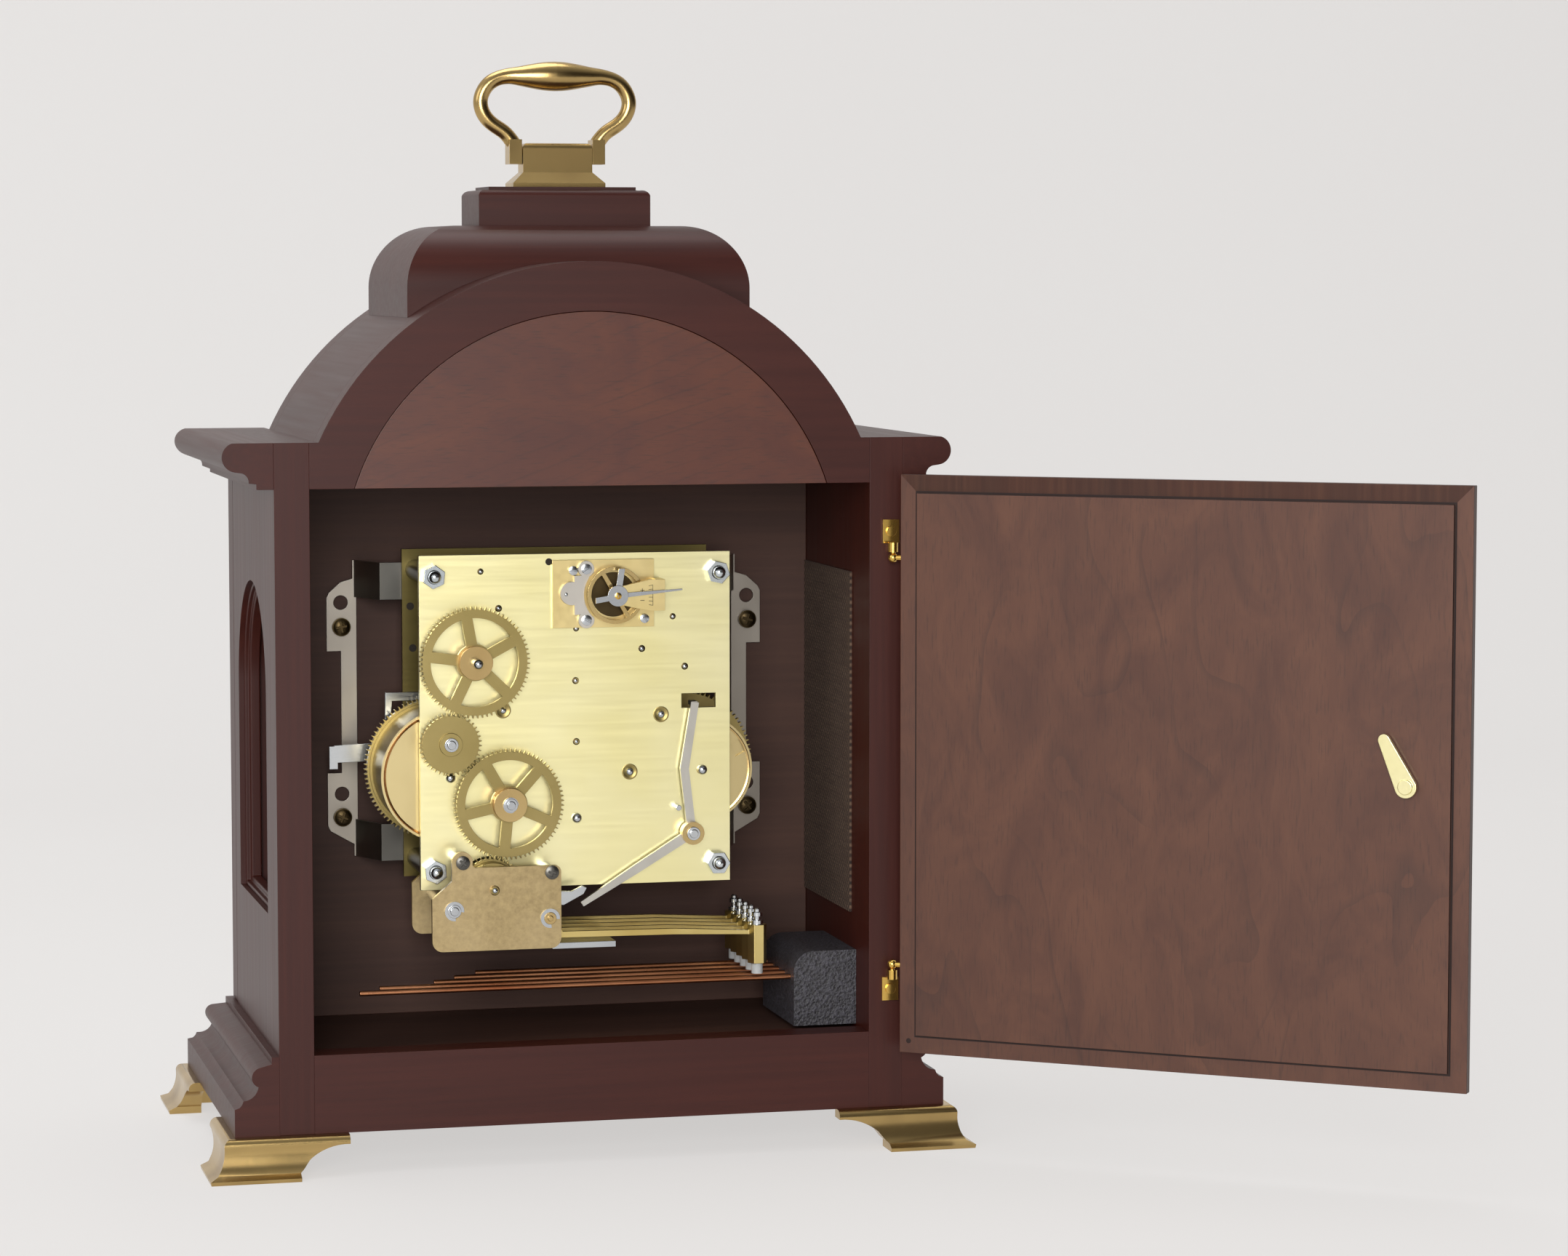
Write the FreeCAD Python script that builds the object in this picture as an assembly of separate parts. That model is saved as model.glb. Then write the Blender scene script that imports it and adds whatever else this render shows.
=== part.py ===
import FreeCAD, Part
import math
import os
from FreeCAD import Vector

# A bracket clock in a mahogany break-arch case, seen with its back door open.
# Millimetres. +Z up, the front of the clock faces -Y, X = 0 is the middle of the case.
# The origin lies on the surface that the feet stand on, under the middle of the plinth.

# ---- driving dimensions: case ----
case_width = 240.0            # outside of the two side panels
case_depth = 139.5            # back face to the face of the front door
side_thickness = 13.1
foot_height = 15.7
base_height = 29.6            # plinth and base moulding together
opening_height = 210.9        # back opening, from the base to the cornice
cornice_height = 17.2
arch_radius = 113.5           # outside of the barrel roof
arch_centre_drop = 29.7       # the arch is struck this far below the foot of the cornice
roof_thickness = 8.0
arch_frame_depth = 13.0       # arched frame at the back
tympanum_radius = 95.0
tympanum_recess = 0.4
tympanum_thickness = 6.0
front_depth = 14.0            # thickness of the front door and the frame round it
front_gap = 0.5               # between the front door and the carcass behind it
floor_thickness = 8.0
floor_drop = 2.1              # floor board below the top of the base
wood_gap = 0.2                # glue line round a board let into a curved place

# ---- driving dimensions: top ----
bell_width = 132.0
bell_depth = 95.4
bell_edge_width = 22.0        # width of the ovolo round the bell top
bell_edge_height = 24.0
bell_rise = 13.5              # top of the bell above the crown of the arch
bell_centre_y = 5.6
handle_plinth_width = 67.0
handle_plinth_depth = 38.3
handle_plinth_height = 15.0
handle_plinth_edge = 4.7
pedestal_width = 27.2
pedestal_depth = 10.6
pedestal_height = 17.0
pedestal_foot_width = 36.2
pedestal_foot_depth = 17.0
pedestal_foot_height = 5.8
pedestal_lip = 1.6
bail_half_width = 29.2        # middle of the tube to the middle of the handle
bail_rise = 42.8              # grip's centre line above the pedestal's foot
bail_tube = 5.7               # diameter
bail_grip = 11.4              # diameter at the middle of the grip
lug_thickness = 4.9
lug_height = 9.5
lug_gap = 0.3                 # each lug to the end of the pedestal
bail_pivot = 3.0              # diameter of the pivot stubs
bail_pivot_depth = 5.0

# ---- driving dimensions: feet ----
foot_reach = 10.3             # toe beyond the plinth, sideways and backwards
foot_leg_length = 42.5        # pointed tongue under the base
foot_tip_height = 3.4
foot_toe_length = 23.5
foot_toe_height = 2.8
foot_pad_reach = 30.0         # pad under the corner of the plinth
foot_pad_width = 5.0
foot_wall = 2.6
foot_screw_head = 7.0
foot_screw_from_side = 10.0   # screw from the plinth's side face
foot_screw_from_end = 19.0    # and from its end face
foot_pad_thickness = 2.0

# ---- driving dimensions: side windows ----
window_width = 82.4           # the window is in the middle of the side
window_sill = 95.0            # above the surface the clock stands on
window_height = 123.0         # sill to crown
window_bead = 3.4             # width of the moulded frame inside the opening
window_bead_depth = 6.0
cloth_margin = 2.5            # cloth beyond the window, at the top and towards the back
cloth_sill_margin = 7.0
cloth_thickness = 1.0

# ---- driving dimensions: back door ----
back_door_width = 221.0
back_door_height = 221.0
back_door_thickness = 4.2
back_door_field_inset = 7.0
back_door_field_rise = 1.4
back_door_drop = 6.7          # lower edge of the door below the top of the base
back_door_angle = 143.0       # how far it stands open
door_gap = 0.4                # back door's inner face to the case
hinge_offset = 4.5            # hinge axis from the edge of the door
hinge_from_side = 5.0         # and from the outside of the case
hinge_stand_off = 4.0         # hinge axis from the back face of the case
hinge_knuckle = 3.8           # diameter
hinge_pin = 1.8               # diameter
hinge_plate_width = 6.4
hinge_plate_length = 9.0
hinge_plate_thickness = 1.3
hinge_height_low = 69.7
hinge_height_high = 229.7
latch_length = 25.0
latch_width = 8.2
latch_tip_width = 4.5
latch_thickness = 1.8
latch_edge_distance = 23.0    # pivot to the free edge of the door
latch_tilt = 26.0             # lever leans this far from upright at rest
latch_spindle = 4.0           # diameter
latch_lift = 1.2              # lever off the face of the door
latch_pocket_depth = 3.7      # recess in the side of the case that takes the lever's tip
latch_knob = 11.0             # diameter

# ---- driving dimensions: front door and dial ----
door_stile = 26.0             # width of the front door's side members
front_rail = 31.0             # height of the front door's bottom rail
front_arch_radius = 90.0      # arched opening in the fixed front frame
front_door_clearance = 0.5
front_band = 18.0             # wood round the arch of the front door
front_glass_thickness = 2.5
front_pivot = 3.0             # diameter of the knife hinge pins
front_pivot_inset = 2.5       # pin from the side of the case
front_knob = 12.0
dial_board_setback = 97.5     # back face of the case to the back of the dial board
dial_board_thickness = 12.0
dial_hole_half = 53.0         # opening in the board, from its middle
dial_hole_margin = 6.5        # opening inside the plates, above and below
dial_width = 178.0
dial_arch_radius = 75.0
dial_thickness = 1.6
chapter_outer = 78.0          # radius
chapter_inner = 57.0
chapter_thickness = 1.2
boss_radius = 26.0
minute_hand_length = 62.0
hour_hand_length = 42.0
hand_thickness = 0.9
hour_hand_angle = 305.0       # ten past ten, clockwise from twelve
minute_hand_angle = 60.0

# ---- driving dimensions: movement ----
plate_width = 121.2
plate_height = 128.0
plate_thickness = 2.5
plate_gap = 38.0              # clear space between the two plates
plate_bottom = 100.7          # above the surface the clock stands on
rear_plate_setback = 35.5     # back face of the case to the rear plate's outer face
pillar_inset = 5.3
pillar_diameter = 8.0
nut_across_flats = 8.0        # M5 hexagon nut
nut_thickness = 4.0
stud_diameter = 5.0
stud_length = 7.0
pivot_clearance = 0.05        # radial, arbor in its hole
centre_height = 156.3         # hand arbor above the surface the clock stands on
side_barrel_x = 49.2
side_barrel_z = 144.0
time_barrel_drop = 29.5       # time barrel below the hand arbor
chime_barrel_radius = 24.9
strike_barrel_radius = 20.2
time_barrel_radius = 18.5
chime_great_radius = 27.3
strike_great_radius = 27.5
hook_slot_bearing = 27.0      # slot in the strike barrel's cap, above its outer side
great_wheel_thickness = 2.4
barrel_arbor = 5.0            # diameter
barrel_pivot = 3.2
winding_square = 3.6
train_module = 0.546
time_great_teeth = 96
centre_pinion_teeth = 12
centre_wheel_teeth = 80
third_pinion_teeth = 10
third_wheel_radius = 15.0
minute_arbor = 3.6            # diameter
motion_module = 0.6
cannon_teeth = 12
minute_wheel_teeth = 36
minute_pinion_teeth = 10
hour_wheel_teeth = 40
bracket_reach = 87.3          # outermost edge of the side brackets from the middle
bracket_web = 81.7
bracket_inner = 75.5          # inner edge of the strip on the dial board
bracket_tab = 68.0            # outer edge of the tabs on the front plate
bracket_tab_height = 14.5
bracket_lug_height = 28.0
bracket_hole = 5.6            # diameter
bracket_thickness = 1.6

# ---- driving dimensions: chime work ----
chime_module = 0.58
chime_wheel_teeth = 72
idler_teeth = 40
chime_wheel_thickness = 2.0
upper_wheel_x = 40.3
upper_wheel_z = 188.1
chime_hub = 12.8              # diameter
chime_rim = 3.9               # width of the rim inside the pitch circle
chime_spoke = 4.2
idler_bearing = -73.0         # direction of the idler from the upper wheel, degrees
lower_bearing = -133.7
drum_bearing = -77.0
cover_stand_off = 12.2        # cover plate beyond the rear plate
cover_thickness = 2.0
cover_top = 110.7             # above the surface the clock stands on
cover_height = 31.8
cover_left = 58.6
cover_right = 8.9
cover_ear = 4.0               # radius of the ear round the upper screw
cover_stud_x = 50.2
cover_stud_z = 94.4
drum_radius = 10.0
hammer_count = 5
hammer_pitch = 9.5
hammer_first_setback = 25.0   # back face of the case to the rearmost hammer
hammer_pivot_x = 13.3
hammer_pivot_z = 90.5
hammer_head_x = -68.8
hammer_arm_root = 83.5        # middle of the arm beside the cover, above the ground
hammer_arm_bend = -36.0       # X of the slight bend half-way along
hammer_arm_drop = 0.4         # from the root to the bend
hammer_arm_fall = 1.4         # from the bend to the head
hammer_arm_width = 2.4        # height of the arm from the root to the bend
hammer_arm_end_width = 1.7
hammer_arm_thickness = 1.6
hammer_rest_drop = 3.0        # rest plate below the middle of the arms
hammer_rest_reach = 26.0      # from the hammers' pivot to the end of the rest
hammer_head_flats = 6.6
hammer_head_height = 15.0
hammer_tip = 4.4              # diameter of the nylon tip
hammer_tip_gap = 0.8          # tip to rod
hammer_arbor = 3.0            # diameter
rod_diameter = 2.0
rod_height = 63.7
rod_lengths = (166.5, 157.5, 135.0, 125.5, 115.5)   # nearest the back door first
rod_start_x = -80.5
block_width = 22.0
block_height = 29.0
block_depth = 50.0

# ---- driving dimensions: escapement platform and levers ----
platform_width = 39.8
platform_height = 26.0
platform_x = 9.4              # edge nearest the hinge side of the case
platform_z = 200.2
platform_thickness = 1.5
balance_x = -14.4
balance_z = 212.8
balance_radius = 11.0
balance_rim = 1.5
balance_thickness = 1.3
balance_height = 3.4          # above the platform
cock_height = 6.2
index_hub = 4.0
selector_x = -44.7
selector_z = 120.1
selector_thickness = 1.6
selector_width = 3.4
selector_knee = (2.9, 24.9)   # places along the lever from its stud, in X and Z
selector_top = (-1.3, 50.6)
selector_elbow = (22.3, -13.6)
selector_end = (43.3, -26.3)
slot_offset = 3.5             # slot's middle beside the lever's stud
slot_drop = 2.4               # slot's lower edge below the end of the lever
slot_width = 13.5
slot_height = 5.6
silence_z = 150.0
silence_reach = 89.0          # end of the silencing lever from the middle of the clock
silence_width = 7.4
detent_x = 66.2               # bent arm behind the front plate
detent_z = 171.4
detent_drop = 10.4

# ---- derived places ----
half_width = case_width / 2
inner_half = half_width - side_thickness
base_top = foot_height + base_height
opening_top = base_top + opening_height
cornice_top = opening_top + cornice_height
arch_z = opening_top - arch_centre_drop
crown_z = arch_z + arch_radius
# Profiles are (projection from the case, height) with a middle point where the line is an arc.
plinth_projection = 16.7
cornice_projection = 19.0
back_y = (case_depth + plinth_projection) / 2
front_y = back_y - case_depth
carcass_front_y = front_y + front_depth + front_gap
bell_top_z = crown_z + bell_rise
handle_plinth_top = bell_top_z + handle_plinth_height
pedestal_top = handle_plinth_top + pedestal_height
bail_axis_z = pedestal_top - lug_height / 2 + 1.4
floor_top = base_top - floor_drop
rear_y = back_y - rear_plate_setback
rear_inner_y = rear_y - plate_thickness
front_plate_y = rear_inner_y - plate_gap
front_plate_face = front_plate_y - plate_thickness
board_back_y = back_y - dial_board_setback
board_front_y = board_back_y - dial_board_thickness
dial_face_y = board_front_y - dial_thickness
plate_top = plate_bottom + plate_height
plate_half = plate_width / 2
time_barrel_z = centre_height - time_barrel_drop


# ---- small helpers ----
def box(low, high):
    """A box from its low corner to its high corner."""
    size = [high[i] - low[i] for i in range(3)]
    return Part.makeBox(size[0], size[1], size[2], Vector(*low))


def rod(radius, start, end):
    """A round bar between two points."""
    a = Vector(*start)
    run = Vector(*end) - a
    return Part.makeCylinder(radius, run.Length, a, run)


def cone(radius_a, radius_b, start, end):
    """A tapered round bar between two points."""
    a = Vector(*start)
    run = Vector(*end) - a
    return Part.makeCone(radius_a, radius_b, run.Length, a, run)


def rod_y(radius, x, z, y_low, y_high):
    """A round bar along Y."""
    return rod(radius, (x, y_low, z), (x, y_high, z))


def outline(points, place):
    """A closed wire: a 2-tuple is a corner, a 4-tuple is an arc's middle and its end."""
    edges = []
    last = place(*points[0])
    for p in list(points[1:]) + [points[0]]:
        end = place(*p[-2:])
        if (end - last).Length < 1e-6:
            continue
        if len(p) == 4:
            edges.append(Part.Arc(last, place(p[0], p[1]), end).toShape())
        else:
            edges.append(Part.LineSegment(last, end).toShape())
        last = end
    return Part.Wire(edges)


def prism_y(points, y_low, y_high):
    """An outline in X and Z, carried along Y."""
    face = Part.Face(outline(points, lambda x, z: Vector(x, y_low, z)))
    return face.extrude(Vector(0, y_high - y_low, 0))


def prism_x(points, x_low, x_high):
    """An outline in Y and Z, carried along X."""
    face = Part.Face(outline(points, lambda y, z: Vector(x_low, y, z)))
    return face.extrude(Vector(x_high - x_low, 0, 0))


def prism_z(points, z_low, z_high):
    """An outline in X and Y, carried along Z."""
    face = Part.Face(outline(points, lambda x, y: Vector(x, y, z_low)))
    return face.extrude(Vector(0, 0, z_high - z_low))


def mirror_x(shape):
    """The same shape on the other side of the clock."""
    return shape.mirror(Vector(0, 0, 0), Vector(1, 0, 0))


def both_sides(shape):
    """The shape and its mirror image across X = 0."""
    return [shape, mirror_x(shape)]


def group(shapes):
    """Separate solids that are kept together."""
    solids = [s for shape in shapes for s in shape.Solids]
    return Part.makeCompound(solids)


def turned(shape, x, z, degrees):
    """The shape turned about a line along Y through (x, z)."""
    copy = shape.copy()
    copy.rotate(Vector(x, 0, z), Vector(0, 1, 0), degrees)
    return copy


def polar(x, z, radius, degrees):
    """A point in X and Z at a bearing, counted from +X towards +Z."""
    a = math.radians(degrees)
    return x + radius * math.cos(a), z + radius * math.sin(a)


def chord(radius, rise):
    """Half the width of a circle at a height above its centre."""
    return math.sqrt(radius ** 2 - rise ** 2)


# ---- gears ----
tooth_share = 0.36            # tooth thickness over tooth pitch at the pitch circle
tip_share = 0.16
addendum_share = 0.80         # tooth height above the pitch circle, over the module
dedendum_share = 1.15


def pitch_radius(teeth, module):
    return teeth * module / 2


def gear(x, z, y_low, y_high, teeth, module, phase):
    """A toothed disc; phase is the bearing of the middle of one tooth."""
    radius = pitch_radius(teeth, module)
    root = radius - dedendum_share * module
    tip = radius + addendum_share * module
    pitch = 360.0 / teeth
    points = []
    for i in range(teeth):
        middle = phase + i * pitch
        foot = tooth_share * pitch * 0.56
        head = tip_share * pitch / 2
        for r, turn in ((root, -foot), (tip, -head), (tip, head), (root, foot)):
            points.append(polar(x, z, r, middle + turn))
    return prism_y(points, y_low, y_high)


def meshed_phase(phase, teeth, bearing, other_teeth):
    """Phase of a gear whose gap takes the tooth of the gear it meshes with."""
    pitch = 360.0 / teeth
    offset = ((bearing - phase) / pitch) % 1.0
    return bearing + 180.0 + (offset + 0.5) * 360.0 / other_teeth


def crossed_out(disc, x, z, y_low, y_high, hub, rim, spokes, spoke_width, phase):
    """A disc with windows between its spokes."""
    window = rod_y(rim, x, z, y_low - 1, y_high + 1).cut(rod_y(hub, x, z, y_low - 2, y_high + 2))
    for i in range(spokes):
        bar = box((x, y_low - 2, z - spoke_width / 2), (x + rim + 1, y_high + 2, z + spoke_width / 2))
        window = window.cut(turned(bar, x, z, -(phase + i * 360.0 / spokes)))
    return disc.cut(window)


# ---- case ----
def window_outline(grow):
    """The arched side window in Y and Z, grown all round."""
    middle = back_y - case_depth / 2
    far = middle - window_width / 2 - grow
    near = middle + window_width / 2 + grow
    low = window_sill - grow
    radius = window_width / 2 + grow
    spring = window_sill + window_height - window_width / 2
    return [(far, low), (near, low), (near, spring), (middle, spring + radius, far, spring)]


def side_panels():
    panel = box((inner_half, carcass_front_y, foot_height), (half_width, back_y, cornice_top))
    panel = panel.cut(prism_x(window_outline(0), inner_half - 1, half_width + 1))
    return group([panel.cut(latch_pocket()), mirror_x(panel)])


def latch_pocket():
    """Recess in the side panel that the latch turns into when the door is shut."""
    y_high = door_inner_y - back_door_field_rise - latch_lift + 0.7
    y_low = y_high - latch_thickness - 1.4
    half = latch_length / 2 + 0.5
    return box((inner_half - 1, y_low, latch_z - half),
               (inner_half + latch_pocket_depth, y_high, latch_z + half))


def bottom_rails():
    back = box((-inner_half, back_y - arch_frame_depth, foot_height), (inner_half, back_y, base_top))
    front = box((-half_width, front_y, foot_height), (half_width, carcass_front_y, base_top))
    radius = front_pivot / 2
    for side in (-1, 1):
        x = side * (half_width - front_pivot_inset)
        if side > 0:
            front = front.cut(rod(radius, (x, front_pivot_y, base_top - 6), (x, front_pivot_y, base_top)))
    return group([back, front])


def floor_board():
    return box((-inner_half, carcass_front_y, floor_top - floor_thickness),
               (inner_half, back_y - arch_frame_depth, floor_top))


base_profile = [(0, 0), (0, 29.6), (2.8, 29.6), (2.8, 27.0), (7.0, 25.9), (10.2, 22.4, 7.8, 18.6),
                (9.4, 15.4, 13.4, 13.6), (13.9, 12.3), (14.8, 11.2), (16.7, 10.5), (16.7, 0)]
cornice_profile = [(0, 0), (6.4, 0), (6.4, 2.1), (9.2, 2.4), (9.9, 4.9, 12.0, 6.2), (14.2, 6.5),
                   (19.0, 11.9, 15.2, 17.2), (0, 17.2)]


def placed(profile, projection, height, low, sign, start, full_projection, full_height):
    """A moulding's profile at its real projection and height, beyond a face."""
    u = projection / full_projection
    v = height / full_height
    result = []
    for p in profile:
        row = []
        for i in range(0, len(p), 2):
            row += [start + sign * p[i] * u, low + p[i + 1] * v]
        result.append(tuple(row))
    return result


def mitred_runs(profile, projection, height, low, inner_end):
    """A moulding along one side of the case and its return across the front."""
    full_p = max(max(p[0::2]) for p in profile)
    full_h = max(max(p[1::2]) for p in profile)
    side_points = placed(profile, projection, height, low, 1, half_width, full_p, full_h)
    front_points = placed(profile, projection, height, low, -1, front_y, full_p, full_h)
    reach = projection + 5
    side = prism_y(side_points, front_y - reach, back_y)
    front = prism_x(front_points, inner_end, half_width + reach)
    corner = [(half_width, front_y), (half_width + reach, front_y - reach)]
    side_keep = prism_z(corner + [(half_width + reach, back_y + 1), (half_width, back_y + 1)],
                        low - 1, low + height + 1)
    front_keep = prism_z(corner + [(inner_end - 1, front_y - reach), (inner_end - 1, front_y)],
                         low - 1, low + height + 1)
    return side.common(side_keep), front.common(front_keep)


def base_moulding():
    side, front = mitred_runs(base_profile, plinth_projection, base_height, foot_height, 0)
    whole_front = front.fuse(mirror_x(front)).removeSplitter()
    return group(both_sides(side) + [whole_front])


def cornice_moulding():
    inner_end = chord(arch_radius, cornice_top - arch_z)
    side, front = mitred_runs(cornice_profile, cornice_projection, cornice_height, opening_top, inner_end)
    return group(both_sides(side) + both_sides(front))


def arch_outline(half, radius, low):
    """A board with shoulders level with the cornice and an arch above them."""
    shoulder = chord(radius, cornice_top - arch_z)
    return [(-half, low), (half, low), (half, cornice_top), (shoulder, cornice_top),
            (0, arch_z + radius, -shoulder, cornice_top), (-half, cornice_top)]


def segment_outline(radius, low):
    """The part of a disc about the arch's centre that lies above a height."""
    half = chord(radius, low - arch_z)
    return [(-half, low), (half, low), (0, arch_z + radius, -half, low)]


def back_arch_frame():
    y_low = back_y - arch_frame_depth
    frame = prism_y(arch_outline(inner_half, arch_radius, opening_top), y_low, back_y)
    recess = tympanum_recess + tympanum_thickness
    hole = prism_y(segment_outline(tympanum_radius, opening_top), back_y - recess, back_y + 1)
    return frame.cut(hole)


def tympanum_panel():
    y_high = back_y - tympanum_recess
    points = segment_outline(tympanum_radius - wood_gap, opening_top)
    return prism_y(points, y_high - tympanum_thickness, y_high)


def front_arch_frame():
    frame = prism_y(arch_outline(half_width, arch_radius, opening_top), front_y, carcass_front_y)
    hole = prism_y(segment_outline(front_arch_radius, opening_top), front_y - 1, carcass_front_y + 1)
    frame = frame.cut(hole)
    x = half_width - front_pivot_inset
    pin = rod(front_pivot / 2, (x, front_pivot_y, opening_top), (x, front_pivot_y, opening_top + 6))
    return frame.cut(pin)


def arch_roof():
    y_high = back_y - arch_frame_depth
    outer = prism_y(arch_outline(inner_half, arch_radius, opening_top), carcass_front_y, y_high)
    inner = prism_y(segment_outline(arch_radius - roof_thickness, opening_top - 1),
                    carcass_front_y - 1, y_high + 1)
    return outer.cut(inner)


def bell_outline(half, low, middle):
    """Straight foot, quarter-elliptical edge and flat top of the bell."""
    edge = half - bell_edge_width
    knee = bell_top_z - bell_edge_height
    share = math.sqrt(0.5)
    bend = (edge + bell_edge_width * share, knee + bell_edge_height * share)
    quarter = ((edge + bell_edge_width * 0.924, knee + bell_edge_height * 0.383),
               (edge + bell_edge_width * 0.383, knee + bell_edge_height * 0.924))
    right = [(middle + half, low), (middle + half, knee),
             (middle + quarter[0][0], quarter[0][1], middle + bend[0], bend[1]),
             (middle + quarter[1][0], quarter[1][1], middle + edge, bell_top_z)]
    left = [(middle - edge, bell_top_z),
            (middle - quarter[1][0], quarter[1][1], middle - bend[0], bend[1]),
            (middle - quarter[0][0], quarter[0][1], middle - half, knee), (middle - half, low)]
    return right + left


def bell_top():
    half_x = bell_width / 2
    half_y = bell_depth / 2
    low = arch_z + chord(arch_radius, half_x) - 1
    across = prism_y(bell_outline(half_x, low, 0), bell_centre_y - half_y, bell_centre_y + half_y)
    along = prism_x(bell_outline(half_y, low, bell_centre_y), -half_x, half_x)
    barrel = rod_y(arch_radius, 0, arch_z, bell_centre_y - half_y - 1, bell_centre_y + half_y + 1)
    return across.common(along).cut(barrel)


def stepped_edge(half, middle, low, high, edge):
    """A block whose upper edge is a small step and an ovolo."""
    step = edge * 0.28
    right = [(middle + half, low), (middle + half, high - edge),
             (middle + half - edge * 0.24, high - step * 1.3, middle + half - edge + step, high - step),
             (middle + half - edge, high - step), (middle + half - edge, high)]
    left = [(middle - half + edge, high), (middle - half + edge, high - step),
            (middle - half + edge - step, high - step),
            (middle - half + edge * 0.24, high - step * 1.3, middle - half, high - edge),
            (middle - half, low)]
    return right + left


def handle_plinth():
    half_x = handle_plinth_width / 2
    half_y = handle_plinth_depth / 2
    across = prism_y(stepped_edge(half_x, 0, bell_top_z, handle_plinth_top, handle_plinth_edge),
                     bell_centre_y - half_y, bell_centre_y + half_y)
    along = prism_x(stepped_edge(half_y, bell_centre_y, bell_top_z, handle_plinth_top,
                                 handle_plinth_edge), -half_x, half_x)
    return across.common(along)


def handle_pedestal():
    low = handle_plinth_top
    neck = low + pedestal_foot_height
    sides = []
    for half, foot, middle in ((pedestal_width / 2, pedestal_foot_width / 2, 0),
                               (pedestal_depth / 2, pedestal_foot_depth / 2, bell_centre_y)):
        top = pedestal_top
        sides.append([(middle + foot, low), (middle + foot, low + pedestal_lip),
                      (middle + half, neck), (middle + half, top - 2.2),
                      (middle + half - 0.6, top - 0.6, middle + half - 2.2, top),
                      (middle - half + 2.2, top),
                      (middle - half + 0.6, top - 0.6, middle - half, top - 2.2),
                      (middle - half, neck), (middle - foot, low + pedestal_lip), (middle - foot, low)])
    reach = pedestal_foot_width
    across = prism_y(sides[0], bell_centre_y - reach, bell_centre_y + reach)
    along = prism_x(sides[1], -reach, reach)
    body = across.common(along)
    bore = bail_pivot / 2 + pivot_clearance
    for side in (-1, 1):
        end = side * pedestal_width / 2
        body = body.cut(rod(bore, (end + side, bell_centre_y, bail_axis_z),
                            (end - side * (bail_pivot_depth + 0.5), bell_centre_y, bail_axis_z)))
    return body


# Middle line of the right half of the handle, from the grip to the lug: share of the half width,
# share of the drop from the grip's middle to the lug, and radius over that of the tube.
bail_line = ((0.0, 0.0, 1.0), (0.10, 0.0, 0.96), (0.20, 0.0, 0.85), (0.30, 0.0, 0.68), (0.40, 0.0, 0.48),
             (0.50, 0.0, 0.28), (0.59, 0.0, 0.13), (0.68, 0.012, 0.04), (0.76, 0.035, 0.0),
             (0.88, 0.11, 0.0), (0.965, 0.235, 0.0), (1.0, 0.36, 0.0), (0.985, 0.50, 0.0),
             (0.91, 0.645, 0.0), (0.79, 0.755, 0.0), (0.67, 0.85, 0.0))


def handle_bail():
    """Grip, two tubes and two lugs as one casting, with a pivot stub in each lug."""
    y = bell_centre_y
    small = bail_tube / 2
    large = bail_grip / 2
    lug_x = pedestal_width / 2 + lug_gap + lug_thickness / 2
    lug_top = bail_axis_z + lug_height / 2
    grip_z = handle_plinth_top + bail_rise
    drop = grip_z - lug_top + 1.5
    places = [(bail_half_width * u, grip_z - drop * v, small + (large - small) * w) for u, v, w in bail_line]
    places.append((lug_x, lug_top - 1.5, small))
    rings = []
    for i, (x, z, radius) in enumerate(places):
        before = places[max(i - 1, 0)]
        after = places[min(i + 1, len(places) - 1)]
        way = Vector(after[0] - before[0], 0, after[1] - before[1] if i else 0)
        rings.append(Part.Wire(Part.makeCircle(radius, Vector(x, y, z), way)))
    tube = Part.makeLoft(rings, True, False)
    lug = box((lug_x - lug_thickness / 2, y - pedestal_depth / 2 + 0.6, bail_axis_z - lug_height / 2),
              (lug_x + lug_thickness / 2, y + pedestal_depth / 2 - 0.6, lug_top))
    stub = rod(bail_pivot / 2, (lug_x, y, bail_axis_z),
               (pedestal_width / 2 - bail_pivot_depth, y, bail_axis_z))
    half = tube.fuse([lug, stub])
    return half.fuse(mirror_x(half)).removeSplitter()


def foot_profile():
    """Section of a foot's wall: rounded shoulder, hollow waist and flared toe."""
    out = foot_reach
    h = foot_height
    return [(-foot_wall, 0), (out - 0.3, 0), (out, 1.4), (out * 0.70, h * 0.18), (out * 0.57, h * 0.31),
            (out * 0.46, h * 0.52, out * 0.43, h * 0.80), (out * 0.35, h * 0.95, out * 0.14, h),
            (-foot_wall, h)]


def foot_arm(points, length):
    """One wall of a foot with a tongue that narrows to a blunt tip under the base."""
    wall = prism_y(points, -length, foot_reach)
    h = foot_height
    toe = foot_toe_length
    run = length - toe
    beyond = foot_reach + 1
    tongue = prism_x([(beyond, -1), (beyond, h + 1), (-length - 1, h + 1), (-length - 1, h - foot_tip_height),
                      (-length, h - foot_tip_height), (-toe - run * 0.5, h * 0.68, -toe - run * 0.2, h * 0.46),
                      (-toe - run * 0.08, h * 0.27), (-toe, foot_toe_height), (-toe, -1)],
                     -foot_wall - 1, beyond)
    return wall.common(tongue)


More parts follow.
